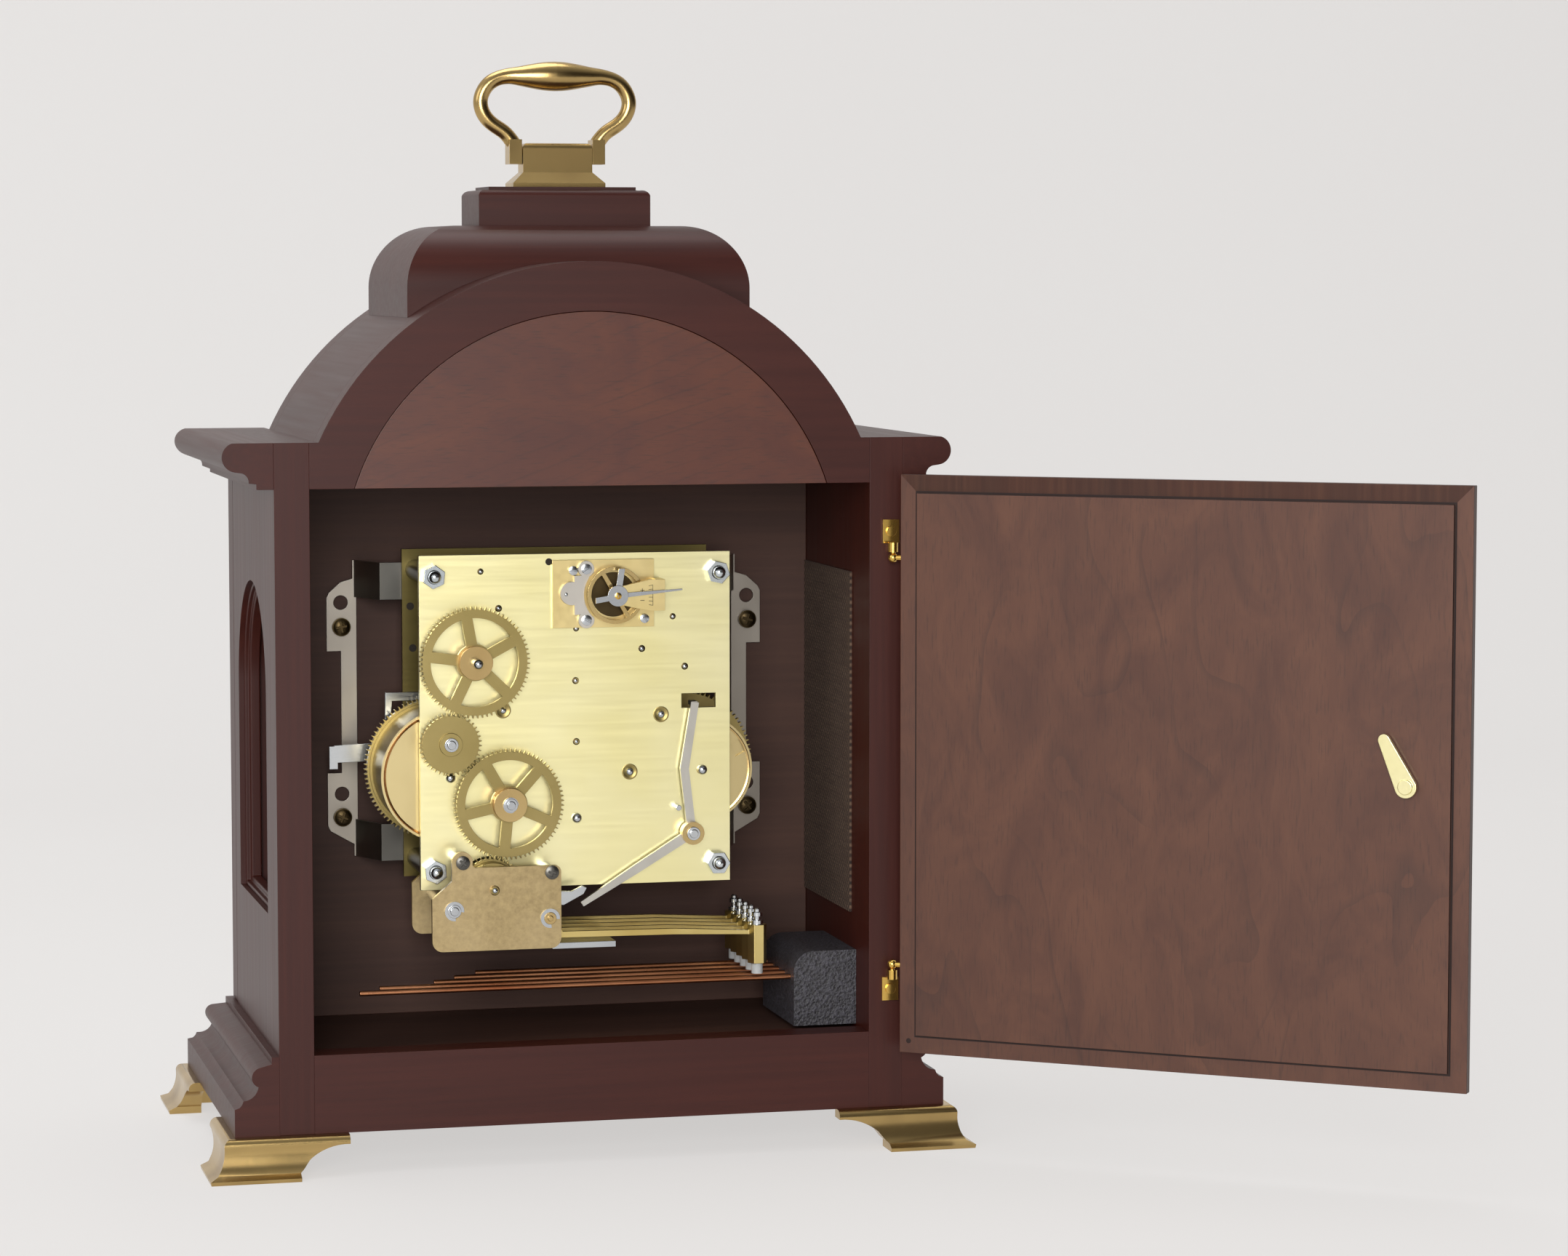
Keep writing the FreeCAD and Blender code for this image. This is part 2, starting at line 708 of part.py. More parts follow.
def bracket_foot():
    """One foot at the origin: its corner is at (0, 0), with walls along -X and -Y."""
    points = foot_profile()
    arm = foot_arm(points, foot_leg_length)
    other = arm.copy()
    other.rotate(Vector(0, 0, 0), Vector(0, 0, 1), 90)
    other = other.mirror(Vector(0, 0, 0), Vector(1, 0, 0))
    reach = foot_leg_length + foot_reach
    first = prism_z([(foot_reach + 1, foot_reach + 1), (-reach, -reach), (foot_reach + 1, -reach)],
                    -1, foot_height + 1)
    second = prism_z([(foot_reach + 1, foot_reach + 1), (-reach, -reach), (-reach, foot_reach + 1)],
                     -1, foot_height + 1)
    arm_x = arm.common(first)
    arm_y = mirrored_diagonal(arm).common(second)
    low = foot_height - foot_pad_thickness
    far, near = -foot_pad_reach, -foot_pad_width
    pad = prism_z([(0, 0), (far, 0), (far, near), (near, far), (0, far)], low, foot_height)
    x, y = -foot_screw_from_side, -foot_screw_from_end
    bore = rod(foot_screw_head * shank_share, (x, y, low - 1), (x, y, foot_height + 1))
    return arm_x.fuse([arm_y, pad]).removeSplitter().cut(bore)


def mirrored_diagonal(shape):
    """The shape mirrored across the line X = Y."""
    return shape.mirror(Vector(0, 0, 0), Vector(1, -1, 0))


def foot_corners():
    """The plinth's corners, each with the signs of X and Y."""
    x = half_width + plinth_projection
    y = (case_depth + plinth_projection) / 2
    return [(sx * x, sy * y, sx, sy) for sx in (-1, 1) for sy in (-1, 1)]


def at_corner(shape, corner):
    """A foot's shape moved to a corner of the plinth and mirrored to face outwards."""
    x, y, sx, sy = corner
    copy = shape.copy()
    if sx < 0:
        copy = copy.mirror(Vector(0, 0, 0), Vector(1, 0, 0))
    if sy < 0:
        copy = copy.mirror(Vector(0, 0, 0), Vector(0, 1, 0))
    copy.translate(Vector(x, y, 0))
    return copy


def bracket_feet():
    foot = bracket_foot()
    return group([at_corner(foot, c) for c in foot_corners()])


shank_share = 0.22            # shank radius over head diameter


def screw_down(x, y, z, head, direction):
    """A round-headed wood screw whose head stands on a surface; direction is its shank's."""
    top = Vector(x, y, z)
    run = Vector(*direction)
    dome = Part.makeSphere(head * 0.62, top + run * head * 0.32)
    keep = Part.makeCylinder(head, head, top - run * head, run)
    shank = Part.makeCylinder(head * shank_share, head * 1.1, top, run)
    return dome.common(keep).fuse(shank)


def case_screws():
    """Screws that hold the feet from below and the hinge plates from behind."""
    z = foot_height - foot_pad_thickness
    screw = screw_down(-foot_screw_from_side, -foot_screw_from_end, z, foot_screw_head, (0, 0, 1))
    return group([at_corner(screw, corner) for corner in foot_corners()] + hinge_screws())


def window_mouldings():
    bead = prism_x(window_outline(0), half_width - 2.0 - window_bead_depth, half_width - 2.0)
    bead = bead.cut(prism_x(window_outline(-window_bead), inner_half - 1, half_width + 1))
    inner = prism_x(window_outline(-window_bead * 0.45), half_width - 4.0, half_width - 1)
    return group(both_sides(bead.cut(inner)))


def window_cloths():
    far = board_back_y + wood_gap
    near = back_y - (case_depth - window_width) / 2 + cloth_margin
    cloth = box((inner_half - cloth_thickness, far, window_sill - cloth_sill_margin),
                (inner_half, near, window_sill + window_height + cloth_margin))
    return group(both_sides(cloth))


# ---- back door ----
hinge_x = -(half_width - hinge_from_side)
door_near = hinge_x + hinge_offset      # the door's two upright edges when it is shut
door_far = door_near + back_door_width
hinge_y = back_y + hinge_stand_off
door_low = base_top - back_door_drop
door_high = door_low + back_door_height


def opened(shape):
    """A piece of the closed back door, swung to where the door stands open."""
    copy = shape.copy()
    copy.rotate(Vector(hinge_x, hinge_y, 0), Vector(0, 0, 1), back_door_angle)
    return copy


latch_x = door_far - latch_edge_distance
latch_z = door_low + back_door_height / 2 + 1.0
door_inner_y = back_y + door_gap
door_outer_y = door_inner_y + back_door_thickness


def back_door_panel():
    panel = box((door_near, door_inner_y, door_low), (door_far, door_outer_y, door_high))
    inset = back_door_field_inset
    field = box((door_near + inset, door_inner_y - back_door_field_rise, door_low + inset),
                (door_far - inset, door_inner_y, door_high - inset))
    panel = panel.fuse(field).removeSplitter()
    bore = rod_y(latch_spindle / 2 + pivot_clearance, latch_x, latch_z, door_inner_y - 5, door_outer_y + 5)
    return opened(panel.cut(bore))


def hinge_places():
    """Height and direction of each back hinge: its arm is on the side away from its plate."""
    return ((hinge_height_low, -1), (hinge_height_high, 1))


def hinge_plate(z, way):
    """A plate on the stile with a knuckle that stands out from it on a neck."""
    length = hinge_plate_length
    radius = hinge_knuckle / 2
    neck_end = z + way * 3.4
    plate = box((hinge_x - hinge_plate_width / 2, back_y, min(neck_end, neck_end + way * length)),
                (hinge_x + hinge_plate_width / 2, back_y + hinge_plate_thickness,
                 max(neck_end, neck_end + way * length)))
    neck = box((hinge_x - 1.2, back_y, min(z + way * 0.2, neck_end)),
               (hinge_x + 1.2, hinge_y, max(z + way * 0.2, neck_end)))
    knuckle = rod(radius, (hinge_x, hinge_y, z + way * 0.2), (hinge_x, hinge_y, z + way * 3.8))
    bore = rod(hinge_pin / 2 + pivot_clearance, (hinge_x, hinge_y, z - 9), (hinge_x, hinge_y, z + 9))
    return plate.fuse([neck, knuckle]).cut(bore)


def hinge_plates():
    plates = [hinge_plate(z, way) for z, way in hinge_places()]
    return group(plates)


def hinge_screws():
    screws = []
    for z, way in hinge_places():
        middle = z + way * (3.4 + hinge_plate_length / 2)
        screws.append(rod_y(1.9, hinge_x, middle, back_y + hinge_plate_thickness,
                            back_y + hinge_plate_thickness + 0.9))
    return screws


def back_hinge_arms():
    """Pin, ball and arm of each hinge, which turn with the door."""
    arms = []
    edge = door_near
    for z, way in hinge_places():
        radius = hinge_knuckle / 2
        ball_z = z - way * 2.0
        ball = Part.makeSphere(radius, Vector(hinge_x, hinge_y, ball_z))
        pin = rod(hinge_pin / 2, (hinge_x, hinge_y, ball_z), (hinge_x, hinge_y, z + way * 3.8))
        arm = rod(1.1, (hinge_x, hinge_y, ball_z), (edge, hinge_y, ball_z))
        arms.append(opened(ball.fuse([pin, arm])))
    return group(arms)


def latch_lever():
    """Tapered lever on the door's inner face, its spindle and the knob outside."""
    y_high = door_inner_y - back_door_field_rise - latch_lift
    y_low = y_high - latch_thickness
    half = latch_width / 2
    tip = latch_tip_width / 2
    length = latch_length - half - tip
    bar = prism_y([(latch_x - half, latch_z), (latch_x, latch_z - half, latch_x + half, latch_z),
                   (latch_x + tip, latch_z + length),
                   (latch_x, latch_z + length + tip, latch_x - tip, latch_z + length)],
                  y_low, y_high)
    bar = turned(bar, latch_x, latch_z, -latch_tilt)
    spindle = rod_y(latch_spindle / 2, latch_x, latch_z, y_low, door_outer_y + 5)
    rivet = rod_y(latch_spindle / 2 + 0.7, latch_x, latch_z, y_low - 0.8, y_low)
    rose = rod_y(latch_knob * 0.30, latch_x, latch_z, door_outer_y + 0.3, door_outer_y + 5)
    knob = cone(latch_knob * 0.42, latch_knob / 2, (latch_x, door_outer_y + 5, latch_z),
                (latch_x, door_outer_y + 9, latch_z))
    return opened(bar.fuse([spindle, rivet, rose, knob]))


# ---- front door ----
front_pivot_y = front_y + 2.9
front_door_low = base_top + front_door_clearance
front_door_high = opening_top - front_door_clearance
front_door_back = front_y + front_depth


def front_door_outline(inset, arch_inset, low):
    """Break-arch outline of the front door or of its glazed opening."""
    half = half_width - inset
    top = front_door_high if inset < door_stile else front_door_high - 6.0
    radius = front_arch_radius - front_door_clearance - arch_inset
    spring = chord(radius, top - arch_z)
    return [(-half, low), (half, low), (half, top), (spring, top), (0, arch_z + radius, -spring, top),
            (-half, top)]


def front_door_frame():
    door = prism_y(front_door_outline(0, 0, front_door_low), front_y, front_door_back)
    hole = prism_y(front_door_outline(door_stile + 6, front_band, front_door_low + front_rail),
                   front_y - 1, front_door_back + 1)
    rebate = prism_y(front_door_outline(door_stile + 2, front_band - 4, front_door_low + front_rail - 4),
                     front_door_back - front_glass_thickness - 1.0, front_door_back + 1)
    x = half_width - front_pivot_inset
    bore = rod(front_pivot / 2 + pivot_clearance, (x, front_pivot_y, front_door_low - 1),
               (x, front_pivot_y, front_door_low + 6))
    top_bore = rod(front_pivot / 2 + pivot_clearance, (x, front_pivot_y, front_door_high - 6),
                   (x, front_pivot_y, front_door_high + 1))
    return door.cut(hole).cut(rebate).cut(bore).cut(top_bore)


def front_door_glass():
    points = front_door_outline(door_stile + 2.2, front_band - 3.8, front_door_low + front_rail - 3.8)
    y_low = front_door_back - front_glass_thickness - 1.0
    return prism_y(points, y_low, y_low + front_glass_thickness)


def front_pivot_pins():
    """Knife hinge pins fixed in the carcass, on which the front door turns."""
    x = half_width - front_pivot_inset
    low = rod(front_pivot / 2, (x, front_pivot_y, base_top - 6), (x, front_pivot_y, front_door_low + 5.5))
    high = rod(front_pivot / 2, (x, front_pivot_y, front_door_high - 5.5),
               (x, front_pivot_y, opening_top + 6))
    return [low, high]


def front_door_knob():
    x = -(half_width - door_stile / 2)
    z = (front_door_low + front_door_high) / 2
    neck = rod_y(front_knob * 0.25, x, z, front_y - 5, front_y)
    rose = rod_y(front_knob * 0.55, x, z, front_y - 1.2, front_y)
    ball = Part.makeSphere(front_knob / 2, Vector(x, front_y - 5 - front_knob * 0.35, z))
    return neck.fuse([rose, ball])


# ---- dial ----
def dial_board():
    arch = arch_radius - roof_thickness - wood_gap
    shoulder = chord(arch, opening_top - arch_z)
    points = [(-inner_half, floor_top), (inner_half, floor_top), (inner_half, opening_top),
              (shoulder, opening_top), (0, arch_z + arch, -shoulder, opening_top),
              (-inner_half, opening_top)]
    board = prism_y(points, board_front_y, board_back_y)
    half = dial_hole_half
    return board.cut(box((-half, board_front_y - 1, plate_bottom + dial_hole_margin),
                         (half, board_back_y + 1, plate_top - dial_hole_margin)))


def dial_plate():
    half = dial_width / 2
    low = centre_height - half
    top = centre_height + half
    spring = chord(dial_arch_radius, top - arch_z)
    points = [(-half, low), (half, low), (half, top), (spring, top),
              (0, arch_z + dial_arch_radius, -spring, top), (-half, top)]
    plate = prism_y(points, dial_face_y, board_front_y)
    y_low = dial_face_y - 1
    y_high = board_front_y + 1
    plate = plate.cut(rod_y(hour_pipe_outer + 0.4, 0, centre_height, y_low, y_high))
    for x, z in barrel_places():
        plate = plate.cut(rod_y(barrel_arbor / 2 + 1.6, x, z, y_low, y_high))
    return plate


def chapter_rings():
    y_low = dial_face_y - chapter_thickness
    ring = rod_y(chapter_outer, 0, centre_height, y_low, dial_face_y)
    ring = ring.cut(rod_y(chapter_inner, 0, centre_height, y_low - 1, dial_face_y + 1))
    boss_z = arch_z + dial_arch_radius - boss_radius - 9.0
    boss = rod_y(boss_radius, 0, boss_z, y_low, dial_face_y)
    return group([ring, boss])


# ---- movement frame ----
def plate_blank(y_low, y_high):
    return box((-plate_half, y_low, plate_bottom), (plate_half, y_high, plate_top))


def pillar_places():
    x = plate_half - pillar_inset
    low = plate_bottom + pillar_inset + 2.0
    high = plate_top - pillar_inset - 2.7
    return [(sx * x, z) for sx in (-1, 1) for z in (low, high)]


def barrel_places():
    """Chime, time and strike barrels, in X and Z."""
    return ((side_barrel_x, side_barrel_z), (0.0, time_barrel_z), (-side_barrel_x, side_barrel_z))


def pivot_hole(plate, radius, x, z, y_low, y_high):
    return plate.cut(rod_y(radius + pivot_clearance, x, z, y_low - 1, y_high + 1))


third_z = centre_height + pitch_radius(centre_wheel_teeth, train_module * 0.957) \
    + pitch_radius(third_pinion_teeth, train_module * 0.957)
third_x = 0.0
pivot_radius = 1.0
minute_radius = minute_arbor / 2
hour_pipe_inner = minute_radius + 0.08
hour_pipe_outer = hour_pipe_inner + 1.1


def rear_plate():
    plate = plate_blank(rear_inner_y, rear_y)
    for x, z in barrel_places():
        plate = pivot_hole(plate, barrel_pivot / 2, x, z, rear_inner_y, rear_y)
    for x, z in ((0.0, centre_height), (third_x, third_z)):
        plate = pivot_hole(plate, pivot_radius, x, z, rear_inner_y, rear_y)
    for x, z in pillar_places():
        plate = plate.cut(rod_y(stud_diameter / 2, x, z, rear_inner_y - 1, rear_y + 1))
    slot_x = selector_x - slot_offset
    slot_z = selector_z + selector_top[1] - slot_drop
    slot = box((slot_x - slot_width / 2, rear_inner_y - 1, slot_z),
               (slot_x + slot_width / 2, rear_y + 1, slot_z + slot_height))
    plate = plate.cut(slot)
    plate = pivot_hole(plate, stud_radius, upper_wheel_x, upper_wheel_z, rear_inner_y, rear_y)
    return plate.cut(drum_notch(rear_inner_y, rear_y))


def drum_notch(y_low, y_high):
    """Round notch at a plate's lower edge, behind the chime cover, that clears the pin drum."""
    return rod_y(drum_radius + 1.0, drum_x, drum_z, y_low - 1, y_high + 1)


def front_plate():
    plate = plate_blank(front_plate_face, front_plate_y)
    for x, z in barrel_places():
        plate = pivot_hole(plate, barrel_arbor / 2, x, z, front_plate_face, front_plate_y)
    plate = pivot_hole(plate, minute_radius, 0.0, centre_height, front_plate_face, front_plate_y)
    plate = pivot_hole(plate, pivot_radius, third_x, third_z, front_plate_face, front_plate_y)
    for x, z in pillar_places():
        plate = plate.cut(rod_y(stud_diameter / 2, x, z, front_plate_face - 1, front_plate_y + 1))
    return plate


def plate_pillars():
    pillars = []
    for x, z in pillar_places():
        body = rod_y(pillar_diameter / 2, x, z, front_plate_y, rear_inner_y)
        stud = rod_y(stud_diameter / 2, x, z, front_plate_face - nut_thickness - 1,
                     rear_y + stud_length - 1.4)
        dome = Part.makeSphere(stud_diameter / 2, Vector(x, rear_y + stud_length - 1.4 - 1.0, z))
        pillars.append(body.fuse([stud, dome]))
    return group(pillars)


def hexagon(x, z, flats, y_low, y_high, start):
    radius = flats / math.sqrt(3)
    points = [polar(x, z, radius, start + 60 * i) for i in range(6)]
    return prism_y(points, y_low, y_high)


def bracket_screw_places():
    """Mounting screws of the side brackets, in X and Z."""
    return [(sx * bracket_web, z) for sx in (-1, 1) for z in (plate_top - 31.4, plate_bottom + 21.6)]


def movement_screws():
    """Pillar nuts on both plates, bracket screws, and the screws of the cover and the platform."""
    shapes = []
    for i, (x, z) in enumerate(pillar_places()):
        bore_r = stud_diameter / 2
        nut = hexagon(x, z, nut_across_flats, rear_y, rear_y + nut_thickness, 12.0 * i)
        shapes.append(nut.cut(rod_y(bore_r, x, z, rear_y - 1, rear_y + nut_thickness + 1)))
        y_low = front_plate_face - nut_thickness
        nut = hexagon(x, z, nut_across_flats, y_low, front_plate_face, 9.0 * i)
        shapes.append(nut.cut(rod_y(bore_r, x, z, y_low - 1, front_plate_face + 1)))
    for x, z in bracket_screw_places():
        y_low = board_back_y + bracket_thickness
        shapes.append(rod_y(3.6, x, z, y_low, y_low + 2.4))
    for x, z in cover_screw_places():
        shapes.append(rod_y(2.6, x, z, cover_y + cover_thickness, cover_y + cover_thickness + 1.8))
    for x, z in platform_screw_places():
        y_low = rear_y + platform_thickness
        shapes.append(rod_y(1.6, x, z, y_low, y_low + 1.2))
    return group(shapes)


def movement_brackets():
    """Steel bracket on each side: a strip with two lugs on the dial board, two legs and their tabs."""
    high = plate_top - 13.0
    low = plate_bottom + 11.0
    web = bracket_web
    reach = bracket_reach
    inner = bracket_inner
    y_low = board_back_y
    t = bracket_thickness
    lug = bracket_lug_height
    face = [(inner, low - 1.2), (reach - 1, low + 5), (reach, low + 7), (reach, low + lug), (web, low + lug),
            (web, high - lug), (reach, high - lug), (reach, high - 7), (reach - 1, high - 5),
            (web, high - 0.9), (inner, high + 0.9)]
    plate = prism_y(face, y_low, y_low + t)
    for z in (plate_top - 21.9, plate_bottom + 30.7):
        plate = plate.cut(rod_y(bracket_hole / 2, bracket_web, z, y_low - 1, y_low + 5))
    # The tabs lie on the face of the front plate, and narrow tongues go in beside its nuts.
    y_high = front_plate_face
    tab = bracket_tab
    start = plate_half - 0.3
    plan = [(inner + 1.5, y_low), (inner + 1.5, y_low + t), (inner + 0.9, y_low + t), (tab + 0.9, y_high),
            (start, y_high), (start, y_high - t), (tab, y_high - t), (inner, y_low)]
    tall = bracket_tab_height
    nut = nut_across_flats / math.sqrt(3) + 0.6
    for z, tongue_low, tongue_high in (
            (high - 6.8, high - 6.8, plate_top - pillar_inset - 2.7 - nut),
            (low - 5.0, plate_bottom + pillar_inset + 2.0 + nut, low - 5.0 + tall)):
        plate = plate.fuse(prism_z(plan, z, z + tall))
        plate = plate.fuse(box((plate_half - 8, y_high - t, tongue_low), (start + 0.5, y_high, tongue_high)))
    return group(both_sides(plate.removeSplitter()))


# ---- barrels and going train ----
great_rear_y = rear_inner_y - 1.2
time_great_y = front_plate_y + 1.5
side_drum_low = time_great_y + great_wheel_thickness + 1.0


def barrel_body(x, z, drum_radius_, great_radius, drum_low, drum_high, great_low, teeth, module, phase):
    """Drum, great wheel and arbor with its winding square."""
    drum = rod_y(drum_radius_, x, z, drum_low, drum_high)
    lip = rod_y(drum_radius_ + 0.9, x, z, drum_high - 1.6, drum_high)
    lip2 = rod_y(drum_radius_ + 0.9, x, z, drum_low, drum_low + 1.6)
    great = gear(x, z, great_low, great_low + great_wheel_thickness, teeth, module, phase)
    arbor = rod_y(barrel_arbor / 2, x, z, dial_face_y + 4, rear_inner_y - 0.3)
    rear_pivot = rod_y(barrel_pivot / 2, x, z, rear_inner_y - 1, rear_y + 1.2)
    side = winding_square / 2
    square = box((x - side, dial_face_y - 1.5, z - side), (x + side, dial_face_y + 5, z + side))
    return drum.fuse([lip, lip2, great, arbor, rear_pivot, square])


def great_teeth(radius):
    """Number of teeth of a great wheel of a given pitch radius."""
    return int(round(2 * radius / (train_module * 1.1)))


def chime_barrel():
    x, z = barrel_places()[0]
    teeth = great_teeth(chime_great_radius)
    return barrel_body(x, z, chime_barrel_radius, chime_great_radius,
                       side_drum_low + great_wheel_thickness, great_rear_y, side_drum_low,
                       teeth, 2 * chime_great_radius / teeth, 0.0)


def strike_barrel():
    x, z = barrel_places()[2]
    teeth = great_teeth(strike_great_radius)
    barrel = barrel_body(x, z, strike_barrel_radius, strike_great_radius,
                         side_drum_low + great_wheel_thickness, great_rear_y, side_drum_low,
                         teeth, 2 * strike_great_radius / teeth, 0.0)
    radius = strike_barrel_radius
    slot = box((x + radius * 0.74, great_rear_y - 1.2, z - radius * 0.13),
               (x + radius * 0.98, great_rear_y + 1, z + radius * 0.13))
    return barrel.cut(turned(slot, x, z, 180 + hook_slot_bearing))


time_module = 2 * (centre_height - time_barrel_z) / (time_great_teeth + centre_pinion_teeth)


def time_barrel():
    x, z = barrel_places()[1]
    return barrel_body(x, z, time_barrel_radius, 0, time_great_y + great_wheel_thickness + 0.6,
                       rear_inner_y - 9.0, time_great_y, time_great_teeth, time_module, 0.0)


centre_module = train_module * 0.957
centre_wheel_y = rear_inner_y - 7.0


def centre_wheel():
    """Centre wheel, its pinion and the arbor that carries the minute hand."""
    z = centre_height
    phase = meshed_phase(0.0, time_great_teeth, 90.0, centre_pinion_teeth)
    pinion = gear(0, z, time_great_y - 0.5, time_great_y + great_wheel_thickness + 0.5,
                  centre_pinion_teeth, time_module, phase)
    wheel = gear(0, z, centre_wheel_y, centre_wheel_y + 1.5, centre_wheel_teeth, centre_module, 0.0)
    rim = pitch_radius(centre_wheel_teeth, centre_module) - 3.2
    wheel = crossed_out(wheel, 0, z, centre_wheel_y, centre_wheel_y + 1.5, 4.0, rim, 4, 2.6, 20.0)
    arbor = rod_y(minute_radius, 0, z, dial_face_y - 9.0, rear_inner_y - 0.3)
    rear_pivot = rod_y(pivot_radius, 0, z, rear_inner_y - 1, rear_y + 0.6)
    cannon = gear(0, z, cannon_y, cannon_y + 3.0, cannon_teeth, motion_module, 0.0)
    return wheel.fuse([pinion, arbor, rear_pivot, cannon])


def third_wheel():
    phase = meshed_phase(0.0, centre_wheel_teeth, 90.0, third_pinion_teeth)
    pinion = gear(third_x, third_z, centre_wheel_y - 0.6, centre_wheel_y + 2.1,
                  third_pinion_teeth, centre_module, phase)
    y_low = centre_wheel_y - 6.0
    wheel = gear(third_x, third_z, y_low, y_low + 1.2, 72, 2 * third_wheel_radius / 72, 0.0)
    wheel = crossed_out(wheel, third_x, third_z, y_low, y_low + 1.2, 3.2, third_wheel_radius - 2.6,
                        4, 2.0, 10.0)
    arbor = rod_y(1.4, third_x, third_z, front_plate_y + 0.3, rear_inner_y - 0.3)
    pivots = rod_y(pivot_radius, third_x, third_z, front_plate_face - 0.4, rear_y + 0.6)
    return wheel.fuse([pinion, arbor, pivots])


# ---- motion work and hands ----
cannon_y = front_plate_face - 4.0
hour_wheel_y = front_plate_face - 9.5
motion_distance = pitch_radius(cannon_teeth + minute_wheel_teeth, motion_module)
hour_module = 2 * motion_distance / (hour_wheel_teeth + minute_pinion_teeth)
motion_bearing = -150.0


def motion_place():
    return polar(0, centre_height, motion_distance, motion_bearing)


def hand_outline(length, width, root, eye):
    """A tapering hand with a swelling before its point."""
    neck = eye * 0.9
    swell = length * 0.72
    return [(-root, 0), (-root, neck), (-width * 0.35, swell * 0.7), (-width, swell),
            (-width * 0.25, swell * 1.18), (0, length), (width * 0.25, swell * 1.18), (width, swell),
            (width * 0.35, swell * 0.7), (root, neck), (root, 0)]


def hand(length, width, root, eye, bore, y_low, angle):
    """A hand that points at an angle clockwise from twelve, seen from the front."""
    points = [(x, centre_height + z) for x, z in hand_outline(length, width, root, eye)]
    blade = prism_y(points, y_low, y_low + hand_thickness)
    blade = turned(blade, 0, centre_height, angle)
    disc = rod_y(eye, 0, centre_height, y_low, y_low + hand_thickness)
    return blade.fuse(disc).cut(rod_y(bore, 0, centre_height, y_low - 1, y_low + 2))


def minute_hand():
    y_low = dial_face_y - 8.0
    blade = hand(minute_hand_length, 2.6, 1.1, 4.0, minute_radius, y_low, minute_hand_angle)
    return blade


def hour_hand():
    """The hour hand with its pipe and the hour wheel behind the dial."""
    y_low = dial_face_y - 5.0
    blade = hand(hour_hand_length, 5.0, 1.6, 5.0, hour_pipe_inner, y_low, hour_hand_angle)
    pipe = rod_y(hour_pipe_outer, 0, centre_height, y_low, hour_wheel_y + 1.6)
    phase = meshed_phase(0.0, minute_pinion_teeth, motion_bearing + 180, hour_wheel_teeth)
    wheel = gear(0, centre_height, hour_wheel_y, hour_wheel_y + 1.6, hour_wheel_teeth, hour_module, phase)
    whole = blade.fuse([pipe, wheel])
    return whole.cut(rod_y(hour_pipe_inner, 0, centre_height, y_low - 1, hour_wheel_y + 3))


def minute_wheel():
    x, z = motion_place()
    phase = meshed_phase(0.0, cannon_teeth, motion_bearing, minute_wheel_teeth)
    wheel = gear(x, z, cannon_y + 0.5, cannon_y + 2.0, minute_wheel_teeth, motion_module, phase)
    pinion = gear(x, z, hour_wheel_y - 0.5, cannon_y + 1.0, minute_pinion_teeth, hour_module, 0.0)
    return wheel.fuse(pinion).cut(rod_y(1.2 + pivot_clearance, x, z, hour_wheel_y - 2, cannon_y + 4))


def minute_wheel_stud():
    x, z = motion_place()
    stud = rod_y(1.2, x, z, hour_wheel_y - 1.2, front_plate_face)
    collar = rod_y(2.0, x, z, cannon_y + 2.4, front_plate_face)
    return stud.fuse(collar)


# ---- chime work ----
chime_gap = pitch_radius(chime_wheel_teeth + idler_teeth, chime_module)
idler_x, idler_z = polar(upper_wheel_x, upper_wheel_z, chime_gap, idler_bearing)
lower_x, lower_z = polar(idler_x, idler_z, chime_gap, lower_bearing)
drum_x, drum_z = polar(lower_x, lower_z, chime_gap, drum_bearing)
chime_wheel_y = rear_y + 4.2
upper_phase = 7.0
idler_phase = meshed_phase(upper_phase, chime_wheel_teeth, idler_bearing, idler_teeth)
lower_phase = meshed_phase(idler_phase, idler_teeth, lower_bearing, chime_wheel_teeth)
drum_phase = meshed_phase(lower_phase, chime_wheel_teeth, drum_bearing, idler_teeth)
cover_y = rear_y + cover_stand_off
stud_radius = 1.6


def chime_wheel(x, z, phase, spoke_phase, arbor_low):
    """A crossed-out chime wheel on its hub, turning with its arbor."""
    y_low = chime_wheel_y
    y_high = y_low + chime_wheel_thickness
    wheel = gear(x, z, y_low, y_high, chime_wheel_teeth, chime_module, phase)
    rim = pitch_radius(chime_wheel_teeth, chime_module) - chime_rim
    wheel = crossed_out(wheel, x, z, y_low, y_high, chime_hub * 0.55, rim, 5, chime_spoke, spoke_phase)
    hub = rod_y(chime_hub / 2, x, z, y_low - 1.5, y_high + 3.2)
    arbor = rod_y(stud_radius, x, z, arbor_low, y_high + 5.2)
    return wheel.fuse([hub, arbor])


def chime_wheel_upper():
    return chime_wheel(upper_wheel_x, upper_wheel_z, upper_phase, 80.0, rear_inner_y - 6.0)


def chime_wheel_lower():
    """The lower wheel runs on a stud, so its hub is bored."""
    x, z = lower_x, lower_z
    y_high = chime_wheel_y + chime_wheel_thickness
    wheel = gear(x, z, chime_wheel_y, y_high, chime_wheel_teeth, chime_module, lower_phase)
    rim = pitch_radius(chime_wheel_teeth, chime_module) - chime_rim
    wheel = crossed_out(wheel, x, z, chime_wheel_y, y_high, chime_hub * 0.55, rim, 5, chime_spoke, 60.0)
    hub = rod_y(chime_hub / 2, x, z, chime_wheel_y - 1.5, y_high + 3.2)
    bore = rod_y(stud_radius + pivot_clearance, x, z, rear_y - 1, y_high + 5)
    return wheel.fuse(hub).cut(bore)


